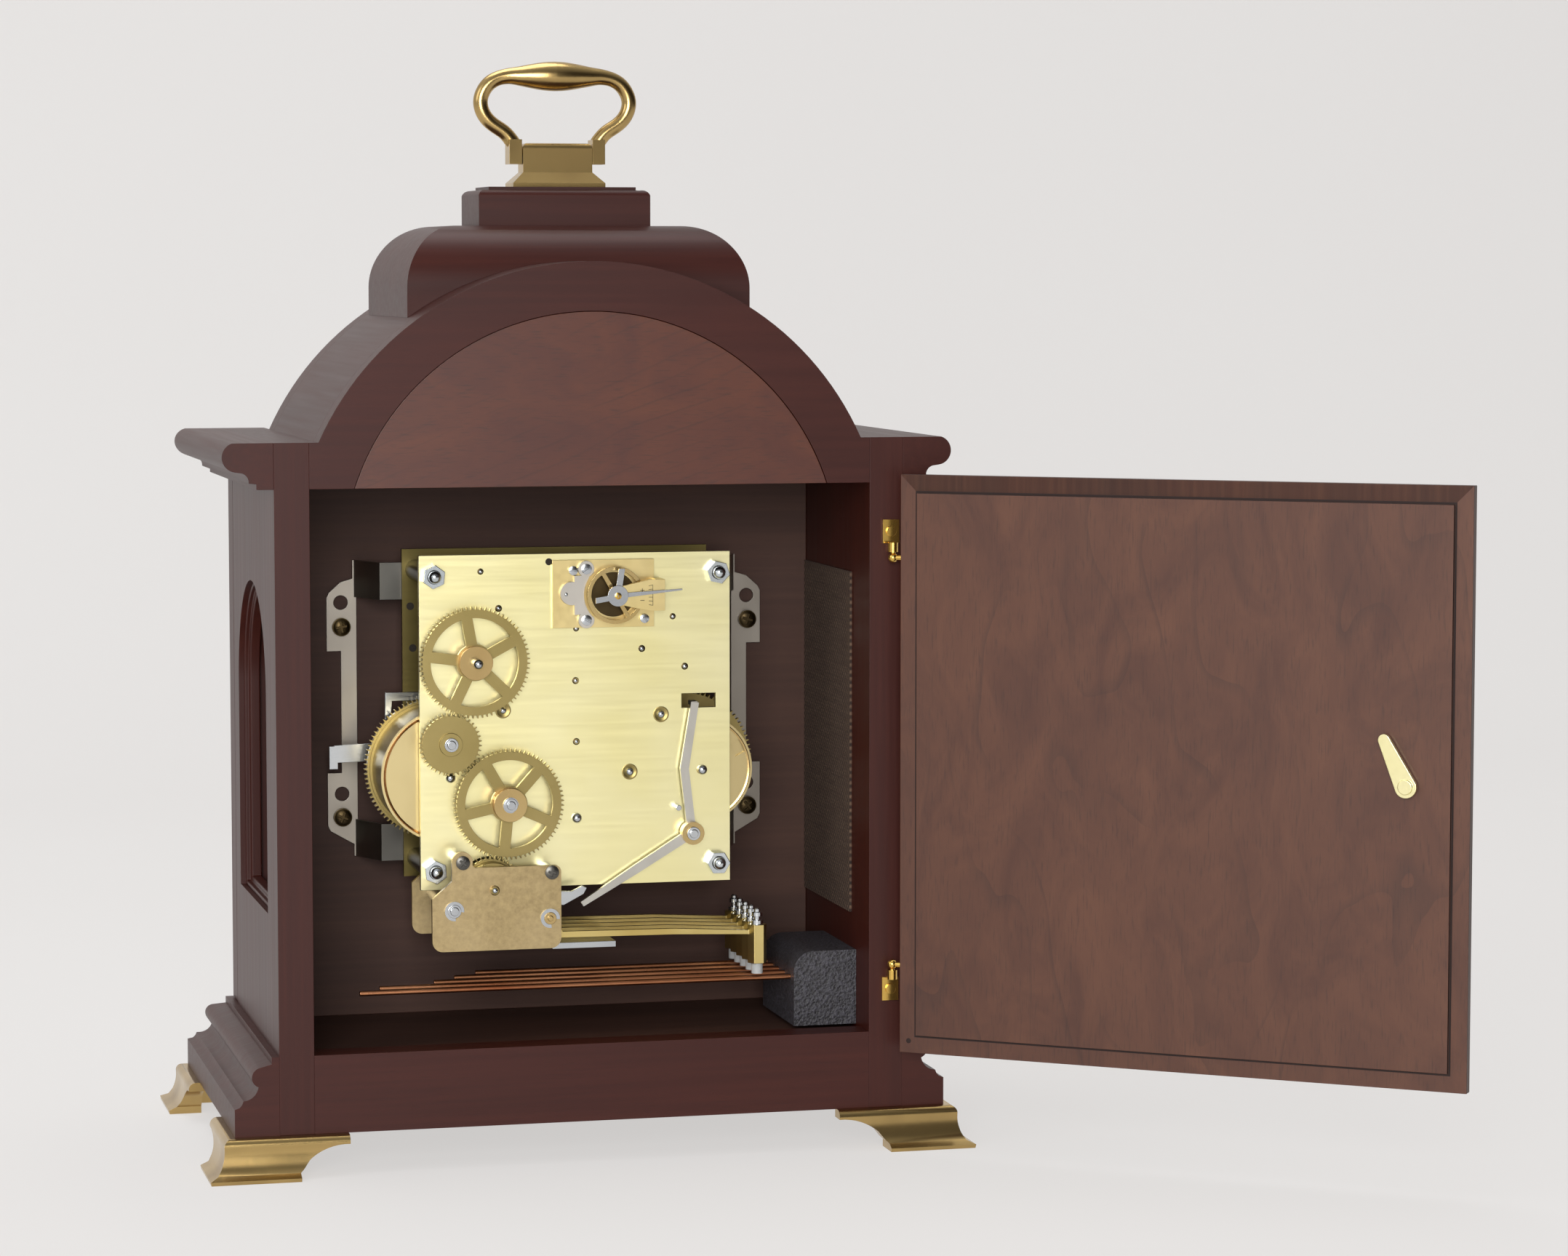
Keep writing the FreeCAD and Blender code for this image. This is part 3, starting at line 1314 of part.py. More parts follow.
def chime_idler():
    x, z = idler_x, idler_z
    y_high = chime_wheel_y + chime_wheel_thickness
    wheel = gear(x, z, chime_wheel_y, y_high, idler_teeth, chime_module, idler_phase)
    hub = rod_y(4.4, x, z, chime_wheel_y - 1.5, y_high + 1.2)
    bore = rod_y(stud_radius + pivot_clearance, x, z, rear_y - 1, y_high + 5)
    return wheel.fuse(hub).cut(bore)


def chime_studs():
    """Studs in the rear plate that carry the idler and the lower wheel, with their clips."""
    y_high = chime_wheel_y + chime_wheel_thickness
    studs = []
    for x, z, hub in ((idler_x, idler_z, 1.2), (lower_x, lower_z, 3.2)):
        shank = rod_y(stud_radius, x, z, rear_y, y_high + hub + 1.6)
        collar = rod_y(3.0, x, z, rear_y, chime_wheel_y - 1.8)
        clip = rod_y(2.7, x, z, y_high + hub + 0.3, y_high + hub + 0.9)
        studs.append(shank.fuse([collar, clip]))
    return studs


hammer_ys = [back_y - hammer_first_setback - hammer_pitch * i for i in range(hammer_count)]
front_cover_y = hammer_ys[-1] - 8.0
drum_low_y = hammer_ys[-1] - 4.0
drum_high_y = hammer_ys[0] + 1.0


def cover_outline():
    """The chime cover in X and Z: an ear, a slanted edge and rounded corners."""
    top = cover_top
    low = top - cover_height
    right, left = cover_right, cover_left
    ear_x, ear_z = cover_screw_places()[0]
    r = cover_ear
    return [(right, top - 2.4), (right + 0.7, top - 0.7, right + 2.4, top), (ear_x - r - 2.0, top),
            (ear_x - r - 0.3, top + 0.5, ear_x - r, top + 2.2), (ear_x, ear_z + r, ear_x + r, ear_z),
            (ear_x + r, top - 5.0), (left, top - 11.6), (left, low + 4.0),
            (left - 1.2, low + 1.2, left - 4.0, low), (right + 4.0, low),
            (right + 1.2, low + 1.2, right, low + 4.0)]


def cover_screw_places():
    return ((cover_left - 11.6, cover_top + 2.2), (cover_right + 3.8, cover_top - 2.5))


def chime_covers():
    """Rear and front plates between which the chime drum and the hammers turn."""
    covers = []
    for y_low in (cover_y, front_cover_y):
        cover = prism_y(cover_outline(), y_low, y_low + cover_thickness)
        for x, z, r in ((drum_x, drum_z, 1.5), (hammer_pivot_x, hammer_pivot_z, hammer_arbor / 2 - 0.5)):
            cover = cover.cut(rod_y(r + pivot_clearance, x, z, y_low - 1, y_low + cover_thickness + 1))
        if y_low == cover_y:
            cover = cover.cut(rod_y(stud_radius, cover_stud_x, cover_stud_z, y_low - 1, y_low + 4))
        else:
            for (x, z), r in ((barrel_places()[1], time_barrel_radius + 2.0),
                              (barrel_places()[0], chime_great_radius + 1.5)):
                cover = cover.cut(rod_y(r, x, z, y_low - 1, y_low + 4))
        covers.append(cover)
    return group(covers)


def cover_posts():
    """Posts that hold the two cover plates apart and fix them to the movement."""
    posts = []
    for x, z in cover_screw_places():
        posts.append(rod_y(2.2, x, z, rear_y, cover_y))
    y_low = front_cover_y + cover_thickness
    y_high = cover_y + cover_thickness
    low_z = cover_top - cover_height + 4.0
    posts.append(rod_y(2.0, (cover_left + cover_right) / 2, low_z, y_low, cover_y))
    x, z = cover_stud_x, cover_stud_z
    stud = rod_y(2.4, x, z, y_low, cover_y).fuse(rod_y(stud_radius, x, z, y_low, y_high + 1.6))
    posts.append(stud.fuse(rod_y(2.6, x, z, y_high + 0.3, y_high + 0.9)))
    x, z = cover_screw_places()[0]
    posts.append(rod_y(2.2, x, z, front_plate_y, front_cover_y))
    return posts


def chime_drum():
    """Pin drum with its gear behind the cover plate and a pivot at each end."""
    x, z = drum_x, drum_z
    wheel = gear(x, z, chime_wheel_y, chime_wheel_y + chime_wheel_thickness, idler_teeth, chime_module,
                 drum_phase)
    drum = rod_y(drum_radius, x, z, drum_low_y, drum_high_y)
    arbor = rod_y(2.4, x, z, front_cover_y + cover_thickness + 0.4, cover_y - 0.4)
    pivots = rod_y(1.5, x, z, front_cover_y, cover_y + cover_thickness + 1.4)
    return wheel.fuse([drum, arbor, pivots])


def hammer_arbor_rod():
    """The rod that the five hammers turn on, stepped down where it passes the covers."""
    x, z = hammer_pivot_x, hammer_pivot_z
    body = rod_y(hammer_arbor / 2, x, z, front_cover_y + cover_thickness + 0.05, cover_y - 0.05)
    ends = rod_y(hammer_arbor / 2 - 0.5, x, z, front_cover_y - 1.0, cover_y + cover_thickness + 1.6)
    clip = rod_y(2.4, x, z, cover_y + cover_thickness + 0.3, cover_y + cover_thickness + 0.9)
    return body.fuse([ends, clip])


def hammer(index):
    """Pivot bush, flat arm, hexagonal head and nylon tip of one hammer."""
    y = hammer_ys[index]
    half_t = hammer_arm_thickness / 2
    px, pz = hammer_pivot_x, hammer_pivot_z
    rod_top = rod_height + rod_diameter / 2
    tip_low = rod_top + hammer_tip_gap
    head_low = tip_low + 4.2
    head_top = head_low + hammer_head_height
    root = hammer_arm_root
    bend = root - hammer_arm_drop
    end = bend - hammer_arm_fall
    far = hammer_head_x + hammer_head_flats / 2
    half_w = hammer_arm_width / 2
    half_e = hammer_arm_end_width / 2
    bush = rod_y(3.4, px, pz, y - 2.6, y + 1.4)
    tail = prism_y([(px, pz + 2.4), (px + 7.5, pz + 4.6), (px + 8.5, pz + 1.6), (px, pz - 2.4)],
                   y - half_t, y + half_t)
    arm = prism_y([(px + 2.6, pz), (px - 2.6, pz), (px - 5.6, root + half_w),
                   (hammer_arm_bend, bend + half_w), (far - 1, end + half_e), (far - 1, end - half_e),
                   (hammer_arm_bend, bend - half_w), (px - 4.4, root - half_w),
                   (px - 1.0, root - half_w)], y - half_t, y + half_t)
    radius = hammer_head_flats / math.sqrt(3)
    corners = [(hammer_head_x + radius * math.cos(math.radians(60 * i)),
                y + radius * math.sin(math.radians(60 * i))) for i in range(6)]
    head = prism_z(corners, head_low, head_top)
    tip = rod(hammer_tip / 2, (hammer_head_x, y, tip_low), (hammer_head_x, y, head_low))
    screw = rod(2.3, (hammer_head_x, y, head_top), (hammer_head_x, y, head_top + 1.6))
    body = bush.fuse([tail, arm, head, tip, screw])
    return body.cut(rod_y(hammer_arbor / 2 + pivot_clearance, px, pz, y - 9, y + 9))


def hammer_rest():
    """Bright steel plate under the hammer arms, between the cover plates, with its edge bent down."""
    x_low = hammer_pivot_x - hammer_rest_reach
    x_high = hammer_pivot_x - 1.3
    top = hammer_arm_root - hammer_rest_drop
    y_low = front_cover_y + cover_thickness
    plate = box((x_low, y_low, top - 1.3), (x_high, cover_y, top))
    lip = box((x_low, cover_y - 1.3, top - 2.3), (x_high, cover_y, top))
    return plate.fuse(lip)


def chime_block():
    """Cast block on the side wall that holds the rods by their roots."""
    x_low = -inner_half
    top = rod_height + block_height / 2 - 4
    y_mid = (hammer_ys[0] + hammer_ys[-1]) / 2
    y_low = y_mid - block_depth / 2
    y_high = y_mid + block_depth / 2
    low = top - block_height
    x_high = rod_start_x - 1.5
    block = prism_y([(x_low, low), (x_high, low), (x_high, top - 8), (x_high - 2.3, top - 2.3, x_high - 8, top),
                     (x_low, top)], y_low, y_high)
    for y in hammer_ys:
        block = block.cut(rod(rod_diameter / 2, (x_high - 6, y, rod_height), (x_high + 1, y, rod_height)))
    return block


def chime_rods():
    """Five copper-plated rods, the longest nearest the back door."""
    rods = []
    x_high = rod_start_x - 1.5
    for y, length in zip(hammer_ys, rod_lengths):
        rods.append(rod(rod_diameter / 2, (x_high - 6, y, rod_height), (rod_start_x + length, y, rod_height)))
    return group(rods)


# ---- escapement platform ----
def platform_screw_places():
    high = platform_z + platform_height - 4.0
    low = platform_z + 3.2
    return ((platform_x - 8.0, high), (platform_x - 35.8, low))


def platform_plate():
    y_high = rear_y + platform_thickness
    plate = box((platform_x - platform_width, rear_y, platform_z),
                (platform_x, y_high, platform_z + platform_height))
    hole = rod_y(0.6 + pivot_clearance, balance_x, balance_z, rear_y - 1, y_high + 1)
    return plate.cut(hole)


def platform_bridges():
    """Balance cock over the balance and the train bridge beside it."""
    base = rear_y + platform_thickness
    z = balance_z
    cock_low = base + cock_height
    far = platform_x - platform_width - 2.6
    arm = prism_y([(balance_x + 3.0, z - 2.6), (balance_x + 3.0, z + 2.6), (far + 6, z + 6.0),
                   (far, z + 6.0), (far, z - 6.0), (far + 6, z - 6.0)], cock_low, cock_low + 1.6)
    leg = box((far, base, z - 6.0), (far + 3.4, cock_low, z + 6.0))
    leg_foot = box((far, rear_y, z - 6.0), (platform_x - platform_width, base, z + 6.0))
    cock = arm.fuse([leg, leg_foot]).cut(rod_y(0.6 + pivot_clearance, balance_x, z, cock_low - 1, cock_low + 3))
    bridge_x = platform_x - 7.3
    blade = rod_y(4.5, bridge_x, z + 0.7, base, base + 1.9)
    neck = box((bridge_x - 6.6, base, z - 7.5), (bridge_x - 1.0, base + 1.9, z + 7.5))
    lobes = [rod_y(3.1, platform_x - 12.9, z + dz, base, base + 1.9) for dz in (10.0, -9.6)]
    bridge = blade.fuse([neck] + lobes)
    bridge = bridge.cut(rod_y(balance_radius + 0.8, balance_x, z, base - 1, base + 9))
    return group([cock] + bridge.Solids)


def balance_wheel():
    base = rear_y + platform_thickness
    y_low = base + balance_height
    y_high = y_low + balance_thickness
    x, z = balance_x, balance_z
    disc = rod_y(balance_radius, x, z, y_low, y_high)
    disc = crossed_out(disc, x, z, y_low, y_high, 2.0, balance_radius - balance_rim, 2, 1.6, 60.0)
    staff = rod_y(0.9, x, z, base + 0.3, base + cock_height - 0.3)
    pivots = rod_y(0.6, x, z, rear_y + 0.3, base + cock_height + 1.2)
    return disc.fuse([staff, pivots])


def regulator():
    """Regulator index: a hub with a long pointer and two short arms."""
    base = rear_y + platform_thickness + cock_height + 1.6 + 0.3
    x, z = balance_x, balance_z
    hub = rod_y(index_hub, x, z, base, base + 0.9)
    pointer = prism_y([(x, z + 1.0), (x, z - 1.0), (x - 25.2, z + 1.8), (x - 25.2, z + 2.4)], base, base + 0.7)
    arm = prism_y([(x - 1.2, z), (x + 1.2, z), (x - 0.4, z + 10.4), (x - 2.8, z + 10.4)], base, base + 0.7)
    curb = prism_y([(x, z + 0.8), (x, z - 1.4), (x + 8.6, z - 2.8), (x + 8.6, z - 0.6)], base, base + 0.7)
    bore = rod_y(0.75, x, z, base - 1, base + 2)
    return hub.fuse([pointer, arm, curb]).cut(bore)


def index_seat():
    """Jewel setting on the cock that the regulator turns round."""
    base = rear_y + platform_thickness + cock_height + 1.6
    return rod_y(0.7, balance_x, balance_z, base, base + 1.4)


# ---- levers ----
def bar_between(a, b, width_a, width_b, y_low, thickness):
    """A flat tapered bar between two points in X and Z."""
    dx, dz = b[0] - a[0], b[1] - a[1]
    length = math.hypot(dx, dz)
    nx, nz = -dz / length, dx / length
    points = [(a[0] + nx * width_a / 2, a[1] + nz * width_a / 2),
              (b[0] + nx * width_b / 2, b[1] + nz * width_b / 2),
              (b[0] - nx * width_b / 2, b[1] - nz * width_b / 2),
              (a[0] - nx * width_a / 2, a[1] - nz * width_a / 2)]
    return prism_y(points, y_low, y_low + thickness)


selector_y = rear_y + 2.0


def selector_lever():
    """Bent steel lever on a stud: one end dips into the slot, the other works the chime lock."""
    x, z = selector_x, selector_z
    bend, top, elbow, end = [(x + place[0], z + place[1])
                             for place in (selector_knee, selector_top, selector_elbow, selector_end)]
    width = selector_width
    upper = bar_between((x, z), bend, width, width, selector_y, selector_thickness)
    upper2 = bar_between(bend, top, width, width * 0.9, selector_y, selector_thickness)
    knee = rod_y(width / 2, bend[0], bend[1], selector_y, selector_y + selector_thickness)
    lower = bar_between((x, z), elbow, width + 0.4, width, selector_y, selector_thickness)
    lower2 = bar_between(elbow, end, width, width * 0.6, selector_y, selector_thickness)
    joint = rod_y(width / 2, elbow[0], elbow[1], selector_y, selector_y + selector_thickness)
    finger = box((top[0] - 1.2, rear_inner_y - 0.8, top[1] - 1.4), (top[0] + 1.2, selector_y + 0.5, top[1] + 0.2))
    hub = rod_y(4.4, x, z, selector_y - 0.6, selector_y + selector_thickness + 2.4)
    bore = rod_y(stud_radius + pivot_clearance, x, z, rear_y - 1, selector_y + 9)
    return upper.fuse([upper2, knee, lower, lower2, joint, finger, hub]).cut(bore)


def selector_studs():
    """Pivot stud of the selector with its clip, and the stop pin beside the lever."""
    x, z = selector_x, selector_z
    top = selector_y + selector_thickness + 2.4
    shank = rod_y(stud_radius, x, z, rear_y, top + 1.6)
    clip = rod_y(2.6, x, z, top + 0.3, top + 0.9)
    stop = rod_y(1.1, x + 5.4, z + 9.9, rear_y, selector_y + 2.6)
    return [shank.fuse(clip), stop]


silence_y = front_plate_face - 2.4


def silence_lever():
    """Steel lever in front of the front plate that silences the chime, with a turned-down end."""
    z = silence_z
    y = silence_y
    boss_x = plate_half - 6.0
    end = silence_reach
    half = silence_width / 2
    across = bar_between((boss_x, z), (end - 2.0, z - 1.0), silence_width, silence_width * 0.92, y, 1.6)
    down = box((end - 3.4, y, z - half - 3.2), (end, y + 1.6, z + half - 1.6))
    eye = rod_y(silence_width * 0.55, boss_x, z, y, y + 1.6)
    bore = rod_y(stud_radius + pivot_clearance, boss_x, z, y - 2, y + 4)
    return across.fuse([down, eye]).cut(bore)


def detent_arm():
    """Bent arm riveted to the back of the front plate, over the great wheel of the chime."""
    y = front_plate_y
    x, z = detent_x, detent_z
    across = bar_between((plate_half - 11.0, z), (x, z), 3.4, 3.4, y, 1.6)
    down = bar_between((x, z + 1.7), (x + 0.6, z - detent_drop), 3.0, 2.2, y, 1.6)
    return across.fuse(down)


def lifting_arm():
    """Small steel arm riveted inside the rear chime cover, beside the end of the selector."""
    x, z = cover_right, cover_top - 12.6
    points = [(x + 2.1, z - 2.9), (x + 2.1, z + 2.4), (x - 4.4, z + 2.1), (x - 8.6, z + 4.1),
              (x - 10.4, z + 3.3), (x - 9.1, z + 0.9), (x - 1.4, z - 3.1)]
    return prism_y(points, cover_y - 1.4, cover_y)


def silence_stud():
    x = plate_half - 6.0
    shank = rod_y(stud_radius, x, silence_z, silence_y - 1.2, front_plate_face)
    head = rod_y(2.6, x, silence_z, silence_y - 1.2, silence_y - 0.3)
    return shank.fuse(head)


def fixed_studs():
    """Every stud, post and jewel that is riveted into the movement's plates."""
    shapes = chime_studs() + cover_posts() + selector_studs()
    return group(shapes + [hammer_arbor_rod(), minute_wheel_stud(), silence_stud(), index_seat(),
                           detent_arm(), lifting_arm()])


# ---- the nodes ----
nodes = {
    "side_panels": side_panels,
    "bottom_rails": bottom_rails,
    "floor_board": floor_board,
    "base_moulding": base_moulding,
    "cornice_moulding": cornice_moulding,
    "back_arch_frame": back_arch_frame,
    "tympanum_panel": tympanum_panel,
    "front_arch_frame": front_arch_frame,
    "arch_roof": arch_roof,
    "bell_top": bell_top,
    "handle_plinth": handle_plinth,
    "handle_pedestal": handle_pedestal,
    "bracket_feet": bracket_feet,
    "case_screws": case_screws,
    "window_mouldings": window_mouldings,
    "window_cloths": window_cloths,
    "dial_board": dial_board,
    "chime_block": chime_block,
    "chime_rods": chime_rods,
    "hinge_plates": lambda: group([hinge_plates()] + front_pivot_pins()),
    "rear_plate": rear_plate,
    "front_plate": front_plate,
    "plate_pillars": plate_pillars,
    "movement_brackets": movement_brackets,
    "movement_screws": movement_screws,
    "movement_studs": fixed_studs,
    "dial_plate": dial_plate,
    "chapter_rings": chapter_rings,
    "chime_covers": chime_covers,
    "hammer_rest": hammer_rest,
    "platform_plate": platform_plate,
    "platform_bridges": platform_bridges,
    "handle_bail": handle_bail,
    "back_door_panel": back_door_panel,
    "back_hinge_arms": back_hinge_arms,
    "latch_lever": latch_lever,
    "front_door_frame": front_door_frame,
    "front_door_glass": front_door_glass,
    "front_door_knob": front_door_knob,
    "minute_hand": minute_hand,
    "centre_wheel": centre_wheel,
    "hour_hand": hour_hand,
    "minute_wheel": minute_wheel,
    "time_barrel": time_barrel,
    "chime_barrel": chime_barrel,
    "strike_barrel": strike_barrel,
    "third_wheel": third_wheel,
    "balance_wheel": balance_wheel,
    "regulator": regulator,
    "chime_wheel_upper": chime_wheel_upper,
    "chime_idler": chime_idler,
    "chime_wheel_lower": chime_wheel_lower,
    "chime_drum": chime_drum,
    "selector_lever": selector_lever,
    "silence_lever": silence_lever,
}


def write_nodes():
    os.makedirs("parts", exist_ok=True)
    for name, make in nodes.items():
        make().exportStep("parts/" + name + ".step")
    for index in range(hammer_count):
        hammer(index).exportStep("parts/hammer_" + str(index + 1) + ".step")


write_nodes()
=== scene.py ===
import math

import bmesh
import bpy
import numpy as np
from mathutils import Matrix, Vector


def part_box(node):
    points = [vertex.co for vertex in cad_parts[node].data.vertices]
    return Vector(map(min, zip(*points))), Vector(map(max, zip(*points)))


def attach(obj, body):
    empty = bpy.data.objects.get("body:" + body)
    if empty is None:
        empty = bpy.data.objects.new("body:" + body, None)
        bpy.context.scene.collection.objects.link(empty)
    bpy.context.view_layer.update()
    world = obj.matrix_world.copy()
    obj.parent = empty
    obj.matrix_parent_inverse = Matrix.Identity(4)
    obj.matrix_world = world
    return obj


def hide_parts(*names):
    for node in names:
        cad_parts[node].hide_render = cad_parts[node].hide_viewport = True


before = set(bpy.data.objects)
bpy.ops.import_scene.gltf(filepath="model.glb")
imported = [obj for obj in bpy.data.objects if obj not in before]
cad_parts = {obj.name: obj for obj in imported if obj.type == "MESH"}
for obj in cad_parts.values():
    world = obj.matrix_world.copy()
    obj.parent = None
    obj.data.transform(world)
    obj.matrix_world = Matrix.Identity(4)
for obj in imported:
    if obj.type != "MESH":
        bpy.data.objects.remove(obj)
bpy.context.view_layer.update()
scene = bpy.context.scene
MM = 0.001
weave_pitch = 1.35                  # between threads of the sound cloths, a little coarse so that it shows
weld = 0.000002                     # corners of a CAD mesh this close are one, in metres
flat_angle = math.radians(0.6)      # its faces that turn less than this are one
corner_angle = math.radians(32)     # its edges that turn more than this are rounded
hard_angle = math.radians(35)       # other pieces' edges that turn more than this stay hard
board_shift = 83.0                  # how far one board's grain lies from the next one's


def corners(node):
    """Lowest and highest corner of a CAD node, in millimetres."""
    low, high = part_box(node)
    return np.array(low) / MM, np.array(high) / MM


# ---- colours and materials ----
def linear(code):
    """An sRGB hex colour as the linear colour that a shader takes."""
    parts = [int(code[i:i + 2], 16) / 255 for i in (1, 3, 5)]
    return [p / 12.92 if p <= 0.04045 else ((p + 0.055) / 1.055) ** 2.4 for p in parts] + [1.0]


def add(tree, kind, inputs=None, **settings):
    """One node with its settings; each input is a value or the output that feeds it."""
    node = tree.nodes.new("ShaderNode" + kind)
    for name, value in settings.items():
        setattr(node, name, value)
    for name, value in (inputs or {}).items():
        if isinstance(value, bpy.types.NodeSocket):
            tree.links.new(value, node.inputs[name])
        else:
            node.inputs[name].default_value = value
    return node


def material(name, build, *settings):
    """A material whose surface is the shader that build adds to its node tree."""
    made = bpy.data.materials.new(name)
    made.use_nodes = True
    made.node_tree.nodes.clear()
    shader = build(made.node_tree, *settings)
    add(made.node_tree, "OutputMaterial", {"Surface": shader.outputs[0]})
    return made


def blend_colour(tree, factor, first, second):
    """The colour between two others, by a factor."""
    mix = add(tree, "Mix", data_type="RGBA")
    for socket, value in ((0, factor), (6, first), (7, second)):
        if isinstance(value, bpy.types.NodeSocket):
            tree.links.new(value, mix.inputs[socket])
        else:
            mix.inputs[socket].default_value = value
    return mix.outputs[2]


def lacquered_wood(tree, body, dark, light, gloss, coat):
    """Mahogany, stained and sprayed with satin lacquer: slow streaks of colour along the grain,
    short dark pores that stay open under the thin finish, and a soft shine on top."""
    line = add(tree, "Attribute", attribute_name="grain_line").outputs["Vector"]
    # Growth streaks are about 25 mm wide and ten times as long, with finer ones between them.
    long_map = add(tree, "Mapping", {"Vector": line, "Scale": (0.004, 0.040, 0.040)})
    streak = add(tree, "TexNoise", {"Vector": long_map.outputs[0], "Scale": 1.0, "Detail": 4.0,
                                    "Roughness": 0.5, "Distortion": 0.4})
    fine_map = add(tree, "Mapping", {"Vector": line, "Scale": (0.012, 0.42, 0.42)})
    fine = add(tree, "TexNoise", {"Vector": fine_map.outputs[0], "Scale": 1.0, "Detail": 3.0})
    # Pores are about 0.4 mm wide and 6 mm long.
    pore_map = add(tree, "Mapping", {"Vector": line, "Scale": (0.16, 2.2, 2.2)})
    pore = add(tree, "TexNoise", {"Vector": pore_map.outputs[0], "Scale": 1.0, "Detail": 1.0})
    pore_mask = add(tree, "MapRange", {"Value": pore.outputs["Fac"], "From Min": 0.60, "From Max": 0.72})
    spread = add(tree, "MapRange", {"Value": streak.outputs["Fac"], "From Min": 0.25, "From Max": 0.75})
    colour = blend_colour(tree, spread.outputs[0], linear(dark), linear(body))
    lift = add(tree, "MapRange", {"Value": fine.outputs["Fac"], "From Min": 0.42, "From Max": 0.80,
                                  "To Max": 0.35})
    colour = blend_colour(tree, lift.outputs[0], colour, linear(light))
    faded = add(tree, "Math", {0: pore_mask.outputs[0], 1: 0.35}, operation="MULTIPLY")
    colour = blend_colour(tree, faded.outputs[0], colour, linear(dark))
    rough = add(tree, "MapRange", {"Value": fine.outputs["Fac"], "To Min": gloss, "To Max": gloss + 0.12})
    bump = add(tree, "Bump", {"Height": pore_mask.outputs[0], "Strength": 0.10, "Distance": 0.00006},
               invert=True)
    return add(tree, "BsdfPrincipled", {"Base Color": colour, "Roughness": rough.outputs[0],
                                        "Coat Weight": coat, "Coat Roughness": 0.16,
                                        "Specular IOR Level": 0.3,
                                        "Normal": bump.outputs[0]})


def figured_veneer(tree, body, dark, light, spacing, slope, wander, gloss=0.34, coat=0.25):
    """Rotary-cut veneer, stained: growth lines that wander like contour lines, spacing millimetres
    apart, over soft lighter and darker patches, with short pores along the grain."""
    line = add(tree, "Attribute", attribute_name="grain_line").outputs["Vector"]
    parts = add(tree, "SeparateXYZ", {"Vector": line})
    swell_map = add(tree, "Mapping", {"Vector": line, "Scale": (0.006, 0.014, 0.014)})
    swell = add(tree, "TexNoise", {"Vector": swell_map.outputs[0], "Scale": 1.0, "Detail": 2.5,
                                   "Roughness": 0.45})
    # level = (across + slope * along) / spacing + wander * noise; a line lies at each whole number.
    tilt = add(tree, "Math", {0: parts.outputs[0], 1: slope, 2: parts.outputs[2]},
               operation="MULTIPLY_ADD")
    even = add(tree, "Math", {0: tilt.outputs[0], 1: 1.0 / spacing}, operation="MULTIPLY")
    level = add(tree, "Math", {0: swell.outputs["Fac"], 1: wander, 2: even.outputs[0]},
                operation="MULTIPLY_ADD")
    saw = add(tree, "Math", {0: level.outputs[0]}, operation="FRACT")
    edge = add(tree, "MapRange", {"Value": saw.outputs[0], "From Min": 0.86, "From Max": 1.0})
    patch_map = add(tree, "Mapping", {"Vector": line, "Scale": (0.022, 0.040, 0.040)})
    patch = add(tree, "TexNoise", {"Vector": patch_map.outputs[0], "Scale": 1.0, "Detail": 4.0,
                                   "Roughness": 0.6, "Distortion": 1.2})
    tone = add(tree, "MapRange", {"Value": patch.outputs["Fac"], "From Min": 0.32, "From Max": 0.70})
    colour = blend_colour(tree, tone.outputs[0], linear(body), linear(light))
    fade_map = add(tree, "Mapping", {"Vector": line, "Scale": (0.018, 0.05, 0.05)})
    fade = add(tree, "TexNoise", {"Vector": fade_map.outputs[0], "Scale": 1.0, "Detail": 2.0})
    faded = add(tree, "MapRange", {"Value": fade.outputs["Fac"], "From Min": 0.35, "From Max": 0.65,
                                   "To Max": 0.45})
    drawn = add(tree, "Math", {0: edge.outputs[0], 1: faded.outputs[0]}, operation="MULTIPLY")
    colour = blend_colour(tree, drawn.outputs[0], colour, linear(dark))
    pore_map = add(tree, "Mapping", {"Vector": line, "Scale": (0.14, 1.8, 1.8)})
    pore = add(tree, "TexNoise", {"Vector": pore_map.outputs[0], "Scale": 1.0, "Detail": 2.0})
    pore_mask = add(tree, "MapRange", {"Value": pore.outputs["Fac"], "From Min": 0.56, "From Max": 0.72,
                                       "To Max": 0.45})
    colour = blend_colour(tree, pore_mask.outputs[0], colour, linear(dark))
    bump = add(tree, "Bump", {"Height": pore_mask.outputs[0], "Strength": 0.15, "Distance": 0.00006},
               invert=True)
    rough = add(tree, "MapRange", {"Value": pore.outputs["Fac"], "To Min": gloss, "To Max": gloss + 0.12})
    return add(tree, "BsdfPrincipled", {"Base Color": colour, "Roughness": rough.outputs[0],
                                        "Coat Weight": coat, "Coat Roughness": 0.2,
                                        "Normal": bump.outputs[0]})


def cast_brass(tree, bright, dark, rough=0.20):
    """Cast brass, antiqued, polished and lacquered: bright on the open faces, with brown
    tarnish left in cloudy patches and a faint ripple from the buffing wheel."""
    place = add(tree, "TexCoord").outputs["Object"]
    cloud = add(tree, "TexNoise", {"Vector": place, "Scale": 34.0, "Detail": 3.0, "Roughness": 0.5})
    mask = add(tree, "MapRange", {"Value": cloud.outputs["Fac"], "From Min": 0.45, "From Max": 0.85})
    colour = blend_colour(tree, mask.outputs[0], linear(bright), linear(dark))
    ripple = add(tree, "TexNoise", {"Vector": place, "Scale": 260.0, "Detail": 2.0})
    bump = add(tree, "Bump", {"Height": ripple.outputs["Fac"], "Strength": 0.06, "Distance": 0.0002})
    smear = add(tree, "MapRange", {"Value": cloud.outputs["Fac"], "To Min": rough - 0.04,
                                   "To Max": rough + 0.12})
    return add(tree, "BsdfPrincipled", {"Base Color": colour, "Metallic": 1.0,
                                        "Roughness": smear.outputs[0], "Normal": bump.outputs[0]})


